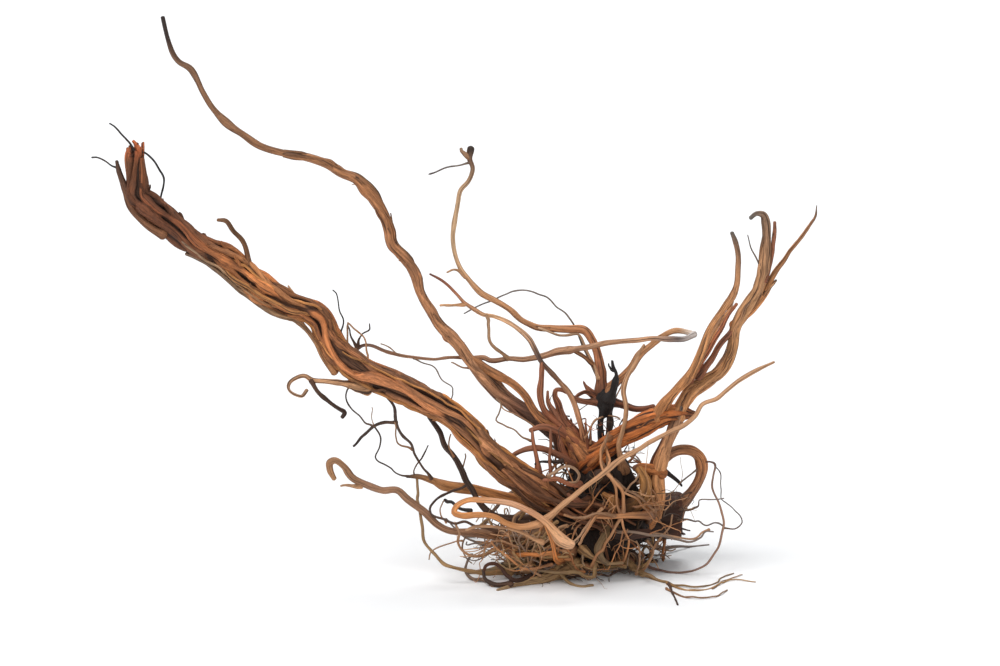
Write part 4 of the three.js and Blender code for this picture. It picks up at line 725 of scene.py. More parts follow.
def ridges(rng, theta, along, twist, count):
    """Fine ridges that run along a root and wander a little, between about -1 and 0.3."""
    total = np.zeros((len(along), len(theta)))
    for _ in range(5):
        waves = int(rng.integers(max(2, count // 3), max(3, count)))
        phase = waves * twist + 1.5 * drift(rng, along, 70) + rng.uniform(0, PHASES)
        wave = np.cos(waves * theta[None, :] - phase[:, None])
        fade = 0.6 + 0.4 * drift(rng, along, 50)[:, None]
        total -= np.maximum(0, wave) ** 6 * fade
    return total / 2 + 0.25


def creases(outline):
    """How deep each place lies in a crease between ridges, from 0 to 1: how much painted shade the
    material lays there.
    """
    reach = max(1, round(outline.shape[1] * CREASE_REACH))
    beside = (np.roll(outline, reach, axis=1) + np.roll(outline, -reach, axis=1)) / 2
    return np.clip((beside - outline - CREASE_LEAST) / CREASE_FULL, 0, 1)


def bent(rng, points, along, usual, wiggle):
    """The root's line with its small bends: slow sways and crooked short runs."""
    length = along[-1]
    hold = np.minimum(1, np.minimum(along, length - along) / (0.12 * length + 1e-6))
    sway = wiggle * hold * (0.08 * np.minimum(points[:, 3], 5) + 0.16)
    kink = wiggle * hold * (0.85 if usual < SLENDER else 0.6 if usual < THICK else 0.35)
    _, across, over = turning_frames(points)
    for way in (across, over):
        offset = sway * drift(rng, along, 18 + 7 * usual)
        offset += kink * crooked(rng, along, 5 + 4 * min(usual, 5))
        points[:, :3] += way * offset[:, None]
    return points


def cross_section(rng, theta, along, turned, strands, depth, flat, square):
    """The root's outline and creases at each ring and corner, and the strand that shows there."""
    corners = len(theta)
    owner = np.zeros((len(along), corners), int)
    outline = np.ones((len(along), corners))
    if strands > 1:
        outline, owner = strand_profile(rng, theta, along, turned, strands, depth)
        relief = ridges(rng, theta, along, turned, max(6, corners // 5))
        outline += RIDGE_HEIGHT * min(depth, 1) * relief
    phase = 1.2 * drift(rng, along, 60) + rng.uniform(0, PHASES)
    oval = 1 + flat * np.cos(2 * theta[None, :] - phase[:, None])
    oval = oval * (1 - square * np.cos(4 * theta[None, :]))
    return outline * oval, creases(outline), owner


def buried(grid, hub):
    """How deep each place lies below the outside of the bundle round a line, from 0 to 1, which
    sets the painted shade on a buried strand.
    """
    centres = grid.mean(axis=1)
    near = ((centres[:, None, :] - hub[None, :, :3]) ** 2).sum(axis=2).argmin(axis=1)
    out = np.linalg.norm(grid - hub[near][:, None, :3], axis=2) / hub[near][:, None, 3]
    return np.clip((BURIED_FROM - out) / BURIED_RANGE, 0, 1)


def painted_crown_shade(grid):
    """Painted shade deep inside the crown: the share of each place's colour that is left, made
    warmer where it is darker as painted bounce light.
    """
    deep = np.linalg.norm((grid - CROWN) / CROWN_SIZE, axis=2)
    t = np.clip((deep - GLOOM_FROM) / GLOOM_RANGE, 0, 1)
    left = GLOOM_LEAST + (1 - GLOOM_LEAST) * t * t * (3 - 2 * t)
    return left[:, :, None] ** GLOOM_TINT


def close_ends(rng, tube, points, tangent, radius, tip):
    """The tube with the rings that close both its ends."""
    start, end = [], []
    for rings, at, way, kind in ((start, 0, -1, tip), (end, -1, 1, "round")):
        centre, ahead, r = points[at, :3], tangent[at] * way, radius[at]
        spokes = tube.grid[at] - centre
        for out, wide, rag in CAPS[kind]:
            jag = rng.uniform(-1, 1, len(spokes)) * rag * 0.5
            jag = (jag + np.roll(jag, 1) + np.roll(jag, 2)) / 2
            rings.append(centre + spokes * wide + ahead * (r * (out + jag))[:, None])

    def padded(values):
        return np.concatenate([np.repeat(values[:1], len(start), 0), values,
                               np.repeat(values[-1:], len(end), 0)])

    before = tube.along[0] - np.array([out for out, _, _ in CAPS[tip]])[::-1] * radius[0]
    after = tube.along[-1] + np.array([out for out, _, _ in CAPS["round"]]) * radius[-1]
    return tube._replace(
        grid=np.concatenate([np.array(start[::-1]), tube.grid, np.array(end)]),
        grain=padded(tube.grain), tint=padded(tube.tint), cavity=padded(tube.cavity),
        along=np.concatenate([before, tube.along, after]))


def make_tube(rng, route, tone="bark", strands=None, depth=None, twist=None, wiggle=1.0,
              flare=0.5, tip="round", knobs=1.0, shade=1.0, flat=0.1, square=0.0,
              span=(0, 1), hub=None, slim=SLIM):
    """A root along a route, with fused strands, ridges, knobs and closed ends."""
    usual = float(np.median([point[3] for point in route]))
    corners, step = next(fine for least, *fine in DETAIL if usual >= least)
    points, along = smooth_path(route, step)
    length = along[-1]
    points = bent(rng, points, along, usual, wiggle)
    radius = points[:, 3] * (1 if usual > THICK or hub is not None else slim)
    tangent, across, over = turning_frames(points)
    radius *= 1 + knobs * SWAY_HEIGHT * drift(rng, along, 12 + 5 * usual)
    radius *= 1 + knobs * KNOT_HEIGHT * swellings(rng, along, KNOT_GAP, 1.1 * usual + 0.6)
    radius *= 1 + flare * np.exp((along - length) / (2.2 * radius[-1]))
    theta = np.linspace(0, TURN, corners, endpoint=False)
    if twist is None:
        twist = rng.choice([-1, 1]) * rng.uniform(0.006, 0.02) * min(1, 5 / usual)
    turned = rng.uniform(0, PHASES) + twist * along + 0.22 * drift(rng, along, 60 + 12 * usual)
    if strands is None:
        strands = 9 if usual > THICK else 6 if usual > MEDIUM else 4 if usual > THIN else 1
    if depth is None:
        depth = 0.9 if usual > THICK else 0.45
    outline, cavity, owner = cross_section(
        rng, theta, along, turned, strands, depth, flat, square)
    rim = np.cos(theta)[None, :, None] * across[:, None, :]
    rim = rim + np.sin(theta)[None, :, None] * over[:, None, :]
    grid = points[:, None, :3] + rim * (outline * radius[:, None])[:, :, None]
    # Painted shade on the parts of a strand that lie inside its bundle.
    if hub is not None:
        cavity = np.maximum(cavity, buried(grid, hub))
    own = theta[None, :] - turned[:, None]
    grain = np.stack([radius[:, None] * np.cos(own), radius[:, None] * np.sin(own),
                      np.broadcast_to(along[:, None], own.shape)], axis=2)
    grain += rng.uniform(-APART, APART, 3)
    tints = rng.uniform(0.86, 1.14, max(strands, 1))
    place = span[0] + (span[1] - span[0]) * along / length
    colour = tone_at(tone, place)[:, None, :] * tints[owner][:, :, None]
    warm = rng.normal(0, 0.05)
    colour = colour * shade * rng.uniform(0.92, 1.08) * np.array([1 + warm, 1, 1 - warm])
    # The tint carries the painted crown shade.
    tube = Tube(grid, grain, colour * painted_crown_shade(grid), cavity, along,
                TURN * float(radius.mean()))
    return close_ends(rng, tube, points, tangent, radius, tip)


# ---------------------------------------------------------------- one piece

ISLAND = 70.0  # the longest stretch of a root that is one island on the piece's map
MARGIN = 0.35  # between islands
CAP_PLACE, CAP_SIZE = 0.3, 0.15  # where an end's face lies on its island, and its radius there
CLEARANCE = 0.02  # the least height above the floor


def islands_of(tube):
    """The row ranges of a tube that are one island each."""
    rows = len(tube.along)
    each = max(2, int(math.ceil((rows - 1) * ISLAND / max(ISLAND, np.ptp(tube.along)))))
    return [(first, min(first + each, rows - 1)) for first in range(0, rows - 1, each)]


def place_islands(tubes):
    """Where each island lies on the piece's square map: shelves of islands, tallest first."""
    parts = []
    for which, tube in enumerate(tubes):
        for first, last in islands_of(tube):
            parts.append((tube.along[last] - tube.along[first], tube.girth, which, first, last))
    parts.sort(key=lambda part: (-part[0], part[2], part[3]))
    area = sum((tall + MARGIN) * (wide + MARGIN) for tall, wide, *_ in parts)
    across = max(math.sqrt(area) * 1.03, max(part[1] for part in parts) + MARGIN)
    places, x, y, shelf = [], 0.0, 0.0, 0.0
    for tall, wide, which, first, last in parts:
        if x + wide + MARGIN > across:
            x, y, shelf = 0.0, y + shelf, 0.0
        shelf = max(shelf, tall + MARGIN)
        places.append((which, first, last, x, y))
        x += wide + MARGIN
    return places, max(across, y + shelf)


def tube_faces(tube, offset):
    """Corner vertices of a tube's quads, by row, and of its two end faces."""
    rows, corners = tube.grid.shape[:2]
    index = offset + np.arange(rows * corners).reshape(rows, corners)
    ahead = np.roll(index, -1, axis=1)
    quads = np.stack([index[:-1], ahead[:-1], ahead[1:], index[1:]], axis=2)
    return quads, index[0][::-1], index[-1]


def island_faces(tube, faces, first, last, x, y):
    """The faces of one island, as pairs: corner vertices by face, and their places on the map."""
    quads = faces[0][first:last]
    corners = quads.shape[1]
    u = x + tube.girth * np.arange(corners + 1) / corners
    v = y + tube.along[first:last + 1] - tube.along[first]
    grid = np.stack(np.meshgrid(u, v), axis=2)
    spots = np.stack([grid[:-1, :-1], grid[:-1, 1:], grid[1:, 1:], grid[1:, :-1]], axis=2)
    made = [(quads.reshape(-1, 4), spots.reshape(-1, 2))]
    for ends, height, here in ((faces[1], v[0], first == 0),
                               (faces[2], v[-1], last == len(tube.along) - 1)):
        if here:
            turn = np.linspace(0, TURN, len(ends), endpoint=False)
            spots = np.stack([x + CAP_PLACE + CAP_SIZE * np.cos(turn),
                              height + CAP_SIZE * np.sin(turn)], axis=1)
            made.append((ends[None, :], spots))
    return made


def store(mesh, name, kind, key, values):
    """Keeps a value for each vertex, for the material to read."""
    held = mesh.attributes.new(name, kind, "POINT").data
    held.foreach_set(key, np.concatenate(values).astype(np.float32).ravel())


def build_piece(name, tubes, material):
    """One mesh object of many closed roots, with its map and its material's attributes."""
    mesh = bpy.data.meshes.new(name)
    sizes = [tube.grid.shape[0] * tube.grid.shape[1] for tube in tubes]
    offsets = np.concatenate([[0], np.cumsum(sizes)])
    faces = [tube_faces(tube, offset) for tube, offset in zip(tubes, offsets)]
    places, side = place_islands(tubes)
    made = [pair for which, *place in places
            for pair in island_faces(tubes[which], faces[which], *place)]
    loops = np.concatenate([corners.ravel() for corners, _ in made])
    counts = np.concatenate([np.full(len(corners), corners.shape[1]) for corners, _ in made])
    mesh.vertices.add(int(offsets[-1]))
    mesh.loops.add(len(loops))
    mesh.polygons.add(len(counts))
    verts = np.concatenate([tube.grid.reshape(-1, 3) for tube in tubes])
    verts[:, 2] = np.maximum(verts[:, 2], CLEARANCE)
    mesh.vertices.foreach_set("co", (verts * MM).astype(np.float32).ravel())
    mesh.loops.foreach_set("vertex_index", loops.astype(np.int32))
    starts = np.concatenate([[0], np.cumsum(counts)[:-1]])
    mesh.polygons.foreach_set("loop_start", starts.astype(np.int32))
    mesh.polygons.foreach_set("use_smooth", np.ones(len(starts), bool))
    layer = mesh.uv_layers.new(name="OFBake")
    uv = (np.concatenate([spots for _, spots in made]) / side).clip(0, 1)
    layer.uv.foreach_set("vector", uv.astype(np.float32).ravel())
    tints = [np.insert(tube.tint.reshape(-1, 3), 3, 1, axis=1) for tube in tubes]
    store(mesh, "tint", "FLOAT_COLOR", "color", tints)
    store(mesh, "grain", "FLOAT_VECTOR", "vector", [tube.grain.reshape(-1, 3) for tube in tubes])
    store(mesh, "cavity", "FLOAT", "value", [tube.cavity.ravel() for tube in tubes])
    mesh.update(calc_edges=True)
    mesh.materials.append(material)
    piece = bpy.data.objects.new(name, mesh)
    bpy.context.collection.objects.link(piece)
    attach(piece, "root")
    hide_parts("dry_root")
    return piece


# ---------------------------------------------------------------- roots made by rule

GUIDE_STEP, LONG_STEP = 3, 4  # lengths between the points of a line that strands follow
LAP = 0.02  # how far strands in one lane run past each other, as a share of the bundle
LEFTOVER = 0.08  # a share too short for a strand of its own


def shifted(route):
    """A route moved by the shift that all of them share."""
    return [[x + CENTRE_X, y, z, r] for x, y, z, r in route]


def thinned(route, share):
    """A route with its radii made smaller."""
    return [[x, y, z, share * r] for x, y, z, r in route]


def overlay(rng, route, first, last, radius, lift):
    """A strand that winds along the outside of a root between two shares of its length."""
    points, along = smooth_path(route, LONG_STEP)
    _, across, over = turning_frames(points)
    share = along / along[-1]
    chosen = (share >= first) & (share <= last)
    points, across, over, share = points[chosen], across[chosen], over[chosen], share[chosen]
    if len(points) < 4:
        return None
    run = (share - share[0]) / max(share[-1] - share[0], 1e-6)
    phase = rng.uniform(0, TURN)
    turns = rng.uniform(-0.16, 0.16)
    angle = phase + TURN * turns * run + 0.16 * drift(rng, run * 100, 60)
    dive = np.minimum(1, 6 * np.minimum(run, 1 - run))
    out = points[:, 3] * (lift * dive + 0.55 * (1 - dive))
    at = points[:, :3] + across * (out * np.cos(angle))[:, None]
    at += over * (out * np.sin(angle))[:, None]
    thick = radius * (0.55 + 0.45 * dive) * (1 + 0.15 * drift(rng, run * 100, 30))
    return np.hstack([at, thick[:, None]]).tolist()


def strand_lane(rng, base, lane, count, share, sizes, ragged):
    """The strands that follow one another along one side of a bundle: routes and their spans."""
    points, across, over, place, total = base
    angle = TURN * lane / count + rng.normal(0, 0.12)
    angle = angle + 0.5 * drift(rng, place * total, 120) + 0.0035 * place * total
    first = share[0] + rng.uniform(0, ragged)
    start = first
    made = []
    while first < share[1] - LAP:
        last = min(first + rng.uniform(0.2, 0.5), share[1])
        if share[1] - last < LEFTOVER:
            last = share[1]
        lead = 0 if first == start else LAP
        inside = (place >= first - lead) & (place <= last + LAP)
        at, where = points[inside], place[inside]
        size = rng.uniform(*sizes) * (1 + 0.34 * drift(rng, where * total, 45))
        run = (where - where[0]) / max(where[-1] - where[0], 1e-6)
        begin = np.ones_like(run) if first == start else np.minimum(1, 7 * run)
        dive = np.minimum(begin, np.minimum(1, 7 * (1 - run)))
        out = at[:, 3] * (1.0 - size * 0.95 + 0.08 * drift(rng, where * total, 50))
        out = out * (0.55 + 0.45 * dive)
        turn = angle[inside] + 0.34 * drift(rng, where * total, 70)
        spot = at[:, :3] + across[inside] * (out * np.cos(turn))[:, None]
        spot = spot + over[inside] * (out * np.sin(turn))[:, None]
        thick = at[:, 3] * size * (0.45 + 0.55 * dive)
        made.append((np.hstack([spot, thick[:, None]]).tolist(), (where[0], where[-1]),
                     first == start))
        first = last
    return made


def braid(draws, route, count, tone, share=(0.0, 1.0), sizes=(0.3, 0.42), ragged=0.0):
    """A bundle of separate strands that lie round a route, drift apart and cross."""
    rng = rng_for(draws)
    points, along = smooth_path(shifted(route), GUIDE_STEP)
    _, across, over = turning_frames(points)
    base = (points, across, over, along / along[-1], along[-1])
    made = []
    for lane in range(count):
        for strand, span, end in strand_lane(rng, base, lane, count, share, sizes, ragged):
            made.append(make_tube(rng, strand, tone=tone, span=span, flare=0, hub=points,
                                  tip="broken" if end else "point", flat=0.16,
                                  shade=rng.uniform(0.6, 1.55), strands=3, depth=0.45,
                                  wiggle=1.7, knobs=1.5))
    return made


STEP = 3.0  # how far a rootlet grows at a time
TAPER = 0.62  # the share of its radius that it loses by its tip
WALL = 1.5  # how far inside the solid model's box it stays
PULL_REACH = 30  # how far off a pull is as strong as it is told to be
SHORTEST = 9  # the least length of a side rootlet
SPIN_KEPT, SPIN_ADDED = 0.8, 0.62  # how a rootlet's curl carries over and changes at a step
CROOK = 0.5  # how sharply it turns at a crook
LEVELLING = 0.02  # how strongly it is drawn to a height
GLANCE = 0.3  # how steeply it leaves the floor, as a share of how it came
UNDERSIDE = -0.4  # how low on the crown's shell rootlets may start
LUMP_ROWS, LUMP_CORNERS, POLE = 40, 72, 0.04  # a lump's grid, and how near its poles it goes


def wander(rng, start, heading, length, radius, curl=0.08, pull=None, strength=0.0,
           level=None, kink=0.12):
    """A rootlet that strays from its start, held near a point or a height if one is given."""
    at = np.array(start, float)
    ahead = np.array(heading, float)
    ahead /= np.linalg.norm(ahead)
    spin = rng.normal(0, curl, 3)
    low, high = BOX_LOW + radius + WALL, BOX_HIGH - radius - WALL
    low[2] = radius * 0.9
    points = []
    count = max(4, int(length / STEP))
    for k in range(count):
        fine = radius * (1 - TAPER * k / count)
        points.append([*at, fine])
        spin = SPIN_KEPT * spin + rng.normal(0, curl * SPIN_ADDED, 3)
        ahead = ahead + np.cross(spin, ahead)
        if rng.random() < kink:
            ahead = ahead + rng.normal(0, CROOK, 3)
        if pull is not None:
            ahead = ahead + strength * (np.array(pull) - at) / PULL_REACH
        if level is not None:
            ahead[2] += LEVELLING * (level - at[2])
        ahead /= np.linalg.norm(ahead)
        at = at + ahead * STEP
        if at[2] < low[2]:
            ahead[2] = abs(ahead[2]) * GLANCE
        at = np.clip(at, low, high)
    return points[::-1]


def branches(rng, route):
    """Side rootlets that leave a rootlet at its crooks."""
    made = []
    for _ in range(int(rng.integers(0, 4))):
        quarter = len(route) // 4
        k = int(rng.integers(quarter, max(quarter + 1, len(route) - 3)))
        at = np.array(route[k][:3])
        ahead = np.array(route[k - 1][:3]) - at
        ahead = ahead / max(np.linalg.norm(ahead), 1e-6) + rng.normal(0, CROOK, 3)
        length = max(SHORTEST, rng.uniform(0.2, 0.5) * 3 * len(route))
        made.append(wander(rng, at, ahead, length, route[k][3] * 0.75, curl=0.1, kink=0.16))
    return made


def on_crown(rng, front=None, scale=1.0):
    """A random place on the crown's shell, and the outward direction there."""
    out = rng.normal(0, 1, 3)
    if front is not None:
        out[1] = -abs(out[1]) if front else abs(out[1])
    out[2] = abs(out[2]) if out[2] < UNDERSIDE else out[2]
    out /= np.linalg.norm(out)
    at = CROWN + out * CROWN_SIZE * scale
    at[2] = max(at[2], 2)
    return at, out


def lump_piece(name, material):
    """The wood inside the crown: rounded lumps, dented and ridged, coloured near black as painted
    shade for the crown's hollows, with painted shade in their dents.
    """
    lumps = []
    for k, (x, y, z, half_x, half_y, half_z) in enumerate(STUMP_LUMPS):
        rng = rng_for("lumps", k)
        polar = np.linspace(POLE, math.pi - POLE, LUMP_ROWS)
        theta = np.linspace(0, TURN, LUMP_CORNERS, endpoint=False)
        dent = 0.05 * sum(
            np.cos(n * theta[None, :] + rng.uniform(0, PHASES) + 1.5 * np.cos(polar * m)[:, None])
            for n, m in ((3, 2), (5, 3), (8, 2), (13, 3)))
        dent += 0.06 * ridges(rng, theta, polar * 30, polar * 0.3, 18)
        size = 0.93 + dent
        grid = np.stack([
            x + CENTRE_X + half_x * size * np.sin(polar)[:, None] * np.cos(theta),
            y + half_y * size * np.sin(polar)[:, None] * np.sin(theta),
            z - half_z * size * np.cos(polar)[:, None] * np.ones(LUMP_CORNERS)], axis=2)
        tint = np.ones((LUMP_ROWS, LUMP_CORNERS, 3)) * linear(CORE_SHADE_COLOUR)
        # The dents get painted shade.
        lumps.append(Tube(grid, grid.copy(), tint, np.clip(-dent * 6, 0, 1),
                          polar * half_z, TURN * half_x))
    return build_piece(name, lumps, material)


# ---------------------------------------------------------------- materials

def nodes_for(name):
    """A new material with its node tree and its one shader."""
    material = bpy.data.materials.new(name)
    material.use_nodes = True
    tree = material.node_tree
    tree.nodes.clear()
    output = tree.nodes.new("ShaderNodeOutputMaterial")
    shader = tree.nodes.new("ShaderNodeBsdfPrincipled")
    tree.links.new(shader.outputs["BSDF"], output.inputs["Surface"])
    return material, tree, shader


def noise_on(tree, vector, scale, detail, rough, distortion, stretch):
    """A noise pattern drawn out along the grain: the smaller its stretch, the longer it is."""
    mapping = tree.nodes.new("ShaderNodeMapping")
    mapping.inputs["Scale"].default_value = (1, 1, stretch)
    noise = tree.nodes.new("ShaderNodeTexNoise")
    for key, value in (("Scale", scale), ("Detail", detail), ("Roughness", rough),
                       ("Distortion", distortion)):
        noise.inputs[key].default_value = value
    tree.links.new(vector, mapping.inputs["Vector"])
    tree.links.new(mapping.outputs["Vector"], noise.inputs["Vector"])
    return noise.outputs["Fac"]


def ramp(tree, value, low, high, to_low, to_high):
    """A value between low and high, turned smoothly into one between to_low and to_high."""
    node = tree.nodes.new("ShaderNodeMapRange")
    node.interpolation_type = "SMOOTHSTEP"
    for key, bound in (("From Min", low), ("From Max", high), ("To Min", to_low),
                       ("To Max", to_high)):
        node.inputs[key].default_value = bound
    tree.links.new(value, node.inputs["Value"])
    return node.outputs["Result"]


def math_node(tree, operation, a, b):
    """Two values, or numbers, joined by an operation."""
    node = tree.nodes.new("ShaderNodeMath")
    node.operation = operation
    for socket, value in zip(node.inputs, (a, b)):
        if isinstance(value, (int, float)):
            socket.default_value = value
        else:
            tree.links.new(value, socket)
    return node.outputs[0]


# Places of the factor and the two colours, and of the mixed colour, on a colour mix node.
MIX_INPUTS, MIX_OUTPUT = (0, 6, 7), 2


def mix_colour(tree, kind, share, a, b):
    """Colour b laid over colour a by a share."""
    node = tree.nodes.new("ShaderNodeMix")
    node.data_type = "RGBA"
    node.blend_type = kind
    for index, value in zip(MIX_INPUTS, (share, a, b)):
        if isinstance(value, (int, float, tuple)):
            node.inputs[index].default_value = value
        else:
            tree.links.new(value, node.inputs[index])
    return node.outputs[MIX_OUTPUT]


def attribute(tree, name, output):
    """A value that each vertex keeps."""
    node = tree.nodes.new("ShaderNodeAttribute")
    node.attribute_name = name
    return node.outputs[output]


# The wood's patterns: scale, detail, roughness, distortion and stretch.
PATTERNS = {
    "broad": (0.42, 5, 0.6, 0.4, 0.07), "fine": (1.9, 5, 0.62, 0.2, 0.05),
    "fibre": (6.5, 3, 0.6, 0.0, 0.045), "patch": (0.09, 4, 0.6, 0.6, 0.45),
    "crack": (0.75, 3, 0.6, 0.5, 0.14),
}
WOOD_SHINE = 0.32
FIBRE_HEIGHT = 0.45  # of the finest relief, as a share of the next finest
RELIEF_DEPTH = 0.0012  # in metres


def wood_material(name, streak=1.0, blotch=0.5, cavity=0.9, rough=(0.62, 0.86), bump=0.35,
                  furrow_and_shade=(0.034, 0.014, 0.008), stain=(0.09, 0.042, 0.025)):
    """Root wood: the root's tint, which carries the painted crown shade, streaks along its grain,
    dark furrows, stains, fibres, and painted shade in creases and hollows.
    """
    material, tree, shader = nodes_for(name)
    grain = attribute(tree, "grain", "Vector")
    tint = attribute(tree, "tint", "Color")
    hollow = attribute(tree, "cavity", "Fac")
    broad, fine, fibre, patch, crack = (
        noise_on(tree, grain, *pattern) for pattern in PATTERNS.values())
    light = ramp(tree, broad, 0.34, 0.66, 1 - 0.36 * streak, 1 + 0.28 * streak)
    lines = ramp(tree, fine, 0.3, 0.62, 1 - 0.4 * streak, 1 + 0.12 * streak)
    hairs = ramp(tree, fibre, 0.3, 0.7, 1 - 0.24 * streak, 1 + 0.14 * streak)
    level = math_node(tree, "MULTIPLY", math_node(tree, "MULTIPLY", light, lines), hairs)
    spread = tree.nodes.new("ShaderNodeCombineColor")
    for socket in spread.inputs:
        tree.links.new(level, socket)
    colour = mix_colour(tree, "MULTIPLY", 1.0, tint, spread.outputs["Color"])
    stained = ramp(tree, patch, 0.54, 0.7, 0.0, blotch)
    colour = mix_colour(tree, "MIX", stained, colour, (*stain, 1))
    groove = ramp(tree, fine, 0.38, 0.27, 0.0, 0.75 * streak)
    colour = mix_colour(tree, "MIX", groove, colour, (*furrow_and_shade, 1))
    cracked = ramp(tree, crack, 0.62, 0.7, 0.0, 0.8 * streak)
    colour = mix_colour(tree, "MIX", cracked, colour, (*furrow_and_shade, 1))
    # Painted shade: the painted shade attribute (creases, strands buried in a bundle, dents in the
    # core lumps) darkens the colour towards the furrow colour.
    sunk = ramp(tree, hollow, 0.04, 0.75, 0.0, cavity)
    colour = mix_colour(tree, "MIX", sunk, colour, (*furrow_and_shade, 1))
    tree.links.new(colour, shader.inputs["Base Color"])
    tree.links.new(ramp(tree, fine, 0.3, 0.7, rough[1], rough[0]), shader.inputs["Roughness"])
    shader.inputs["Specular IOR Level"].default_value = WOOD_SHINE
    height = math_node(tree, "ADD", fine, math_node(tree, "MULTIPLY", fibre, FIBRE_HEIGHT))
    relief = tree.nodes.new("ShaderNodeBump")
    relief.inputs["Strength"].default_value = bump
    relief.inputs["Distance"].default_value = RELIEF_DEPTH
    tree.links.new(height, relief.inputs["Height"])
    tree.links.new(relief.outputs["Normal"], shader.inputs["Normal"])
    return material


# The third number of each is how strongly the material lays its painted shade.
BARK = wood_material("furrowed_wood", 1.0, 0.55, 0.92)
SMOOTH = wood_material("stripped_wood", 0.72, 0.4, 0.8, bump=0.25)
PEELED = wood_material("peeled_wood", 0.5, 0.16, 0.6, (0.5, 0.75), 0.2,
                       (0.09, 0.045, 0.022), (0.2, 0.1, 0.055))
ROOTLET = wood_material("rootlet_wood", 0.6, 0.4, 0.6, bump=0.2)
# Black wood for the charred stump. The crown's core lumps use it too, as painted shade.
CHARRED_AND_SHADE = wood_material("charred_and_shaded_wood", 0.8, 0.5, 0.95, (0.5, 0.8), 0.6,
                        (0.006, 0.005, 0.005), (0.012, 0.011, 0.011))


# ---------------------------------------------------------------- the pieces

def tubes_of(group, draws, usual):
    """The roots of a group of routes, each with its own look."""
    made = []
    for k, (name, route) in enumerate(group.items()):
        look = dict(usual, **LOOKS.get(name, {}))
        made.append(make_tube(rng_for(draws, k), shifted(route), **look))
    return made


def overlays_of(route, draws, count, sizes, tone_for, spans=(0.12, 0.4), lift=0.86, **look):
    """Separate strands that wind along the outside of a root."""
    made = []
    rng = rng_for(draws)
    for _ in range(count):
        first = rng.uniform(0, 1 - spans[0])
        last = min(first + rng.uniform(*spans), 1)
        strand = overlay(rng, shifted(route), first, last, rng.uniform(*sizes), lift)
        if strand:
            at = (first + last) / 2
            shade = rng.uniform(0.7, 1.15)
            made.append(make_tube(rng, strand, tone=tone_for(at), shade=shade, flare=0, **look))
    return made


# How many roots of each kind grow by rule.
SPLINTERS, WRAPS, FAN, SPLAYED = 11, 44, 9, 16


def bundle_tone(at):
    """The tone of a strand on the bundle, by the share of the length where it lies."""
    return "bundle_dark" if at < 0.27 else "bundle_low" if at < 0.33 else "bundle_bright"


def splinters(draws):
    """Torn slivers that stand up from the bundle's snapped end, higher on one side."""
    made = []
    rng = rng_for(draws)
    x, y, z, r = shifted(BUNDLE["bundle"])[0]
    for _ in range(SPLINTERS):
        angle, out = rng.uniform(0, TURN), r * rng.uniform(0.15, 0.95)
        foot = [x + out * math.cos(angle), y + out * math.sin(angle)]
        lean = rng.uniform(-2.6, 2.6, 2)
        tall = 1 + 0.6 * out * math.cos(angle) + rng.uniform(-4.5, 2)
        wide = rng.uniform(0.9, 2.2)
        route = [[foot[0] + lean[0], foot[1] + lean[1], z + tall, wide * 0.8],
                 [foot[0] + lean[0] / 2, foot[1] + lean[1] / 2, z + tall - 4, wide],
                 [*foot, z - 14, wide]]
        made.append(make_tube(rng, route, tone="bundle", span=(0, 0.03), tip="broken", flare=0,
                              shade=rng.uniform(0.4, 1.2), wiggle=0.8, flat=0.4))
    return made


def nubs(draws, route, count, tone, keep=(0.05, 0.85), wide=(0.5, 1.2)):
    """Short broken stubs and slivers of bark that stand off a root."""
    made = []
    rng = rng_for(draws)
    points, _ = smooth_path(shifted(route), GUIDE_STEP)
    tangent, across, over = turning_frames(points)
    for _ in range(count):
        share = rng.uniform(*keep)
        k = int(share * (len(points) - 1))
        angle = rng.uniform(0, TURN)
        rim = across[k] * math.cos(angle) + over[k] * math.sin(angle)
        skin = points[k, :3] + rim * points[k, 3] * 0.9
        thick = rng.uniform(*wide)
        out = skin + rim * rng.uniform(0.8, 3.2) - tangent[k] * rng.uniform(2, 7)
        root = skin - rim * 0.15 * points[k, 3] + tangent[k] * rng.uniform(3, 6)
        nub = [[*out, thick * 0.7], [*skin, thick], [*root, thick * 0.8]]
        made.append(make_tube(rng, nub, tone=tone, span=(share, share), flare=0, flat=0.3,
                              tip=rng.choice(["broken", "point"]), shade=rng.uniform(0.5, 1.2)))
    return made


CORE = dict(BUNDLE, bundle=thinned(BUNDLE["bundle"][1:], 0.66))
build_piece("bundle_core", tubes_of(CORE, "bundle", dict(tone="straw")), BARK)
strands = braid("bundle_strands", BUNDLE["bundle"], 10, "bundle", sizes=(0.2, 0.4), ragged=0.022)
half = len(strands) // 2
build_piece("bundle_strands_a", strands[:half], BARK)
build_piece("bundle_strands_b", strands[half:], BARK)
skin = splinters("splinters")
skin += nubs("bundle_nubs", BUNDLE["bundle"], 34, "bundle")
skin += overlays_of(BUNDLE["bundle"], "bundle_overlays", 26, (0.8, 1.9), bundle_tone,
                    wiggle=1.2, tip="point", lift=1.0)
build_piece("bundle_skin", skin, BARK)

tall = {name: TALL_ROOTS[name] for name in ("tall_root", "tall_fork")}
tall_tubes = tubes_of(tall, "tall", {})
tall_tubes += braid("tall_strands", thinned(TALL_ROOTS["tall_root"], 0.92), 5, "tall",
                    share=(0.3, 1.0), sizes=(0.32, 0.5))
tall_tubes += nubs("tall_nubs", TALL_ROOTS["tall_root"], 6, "tall", (0.3, 0.95), (0.5, 0.9))
build_piece("tall_root", tall_tubes, BARK)

arches = {name: route for name, route in TALL_ROOTS.items() if name not in tall}
build_piece("arching_roots", tubes_of(arches, "arches", {}), SMOOTH)

black = {name: route for name, route in STUMP_ROOTS.items() if name.startswith("stump")}
build_piece("charred_stump", tubes_of(black, "stump", {}), CHARRED_AND_SHADE)
level = {name: route for name, route in STUMP_ROOTS.items() if name not in black}
build_piece("level_roots", tubes_of(level, "level", {}), SMOOTH)

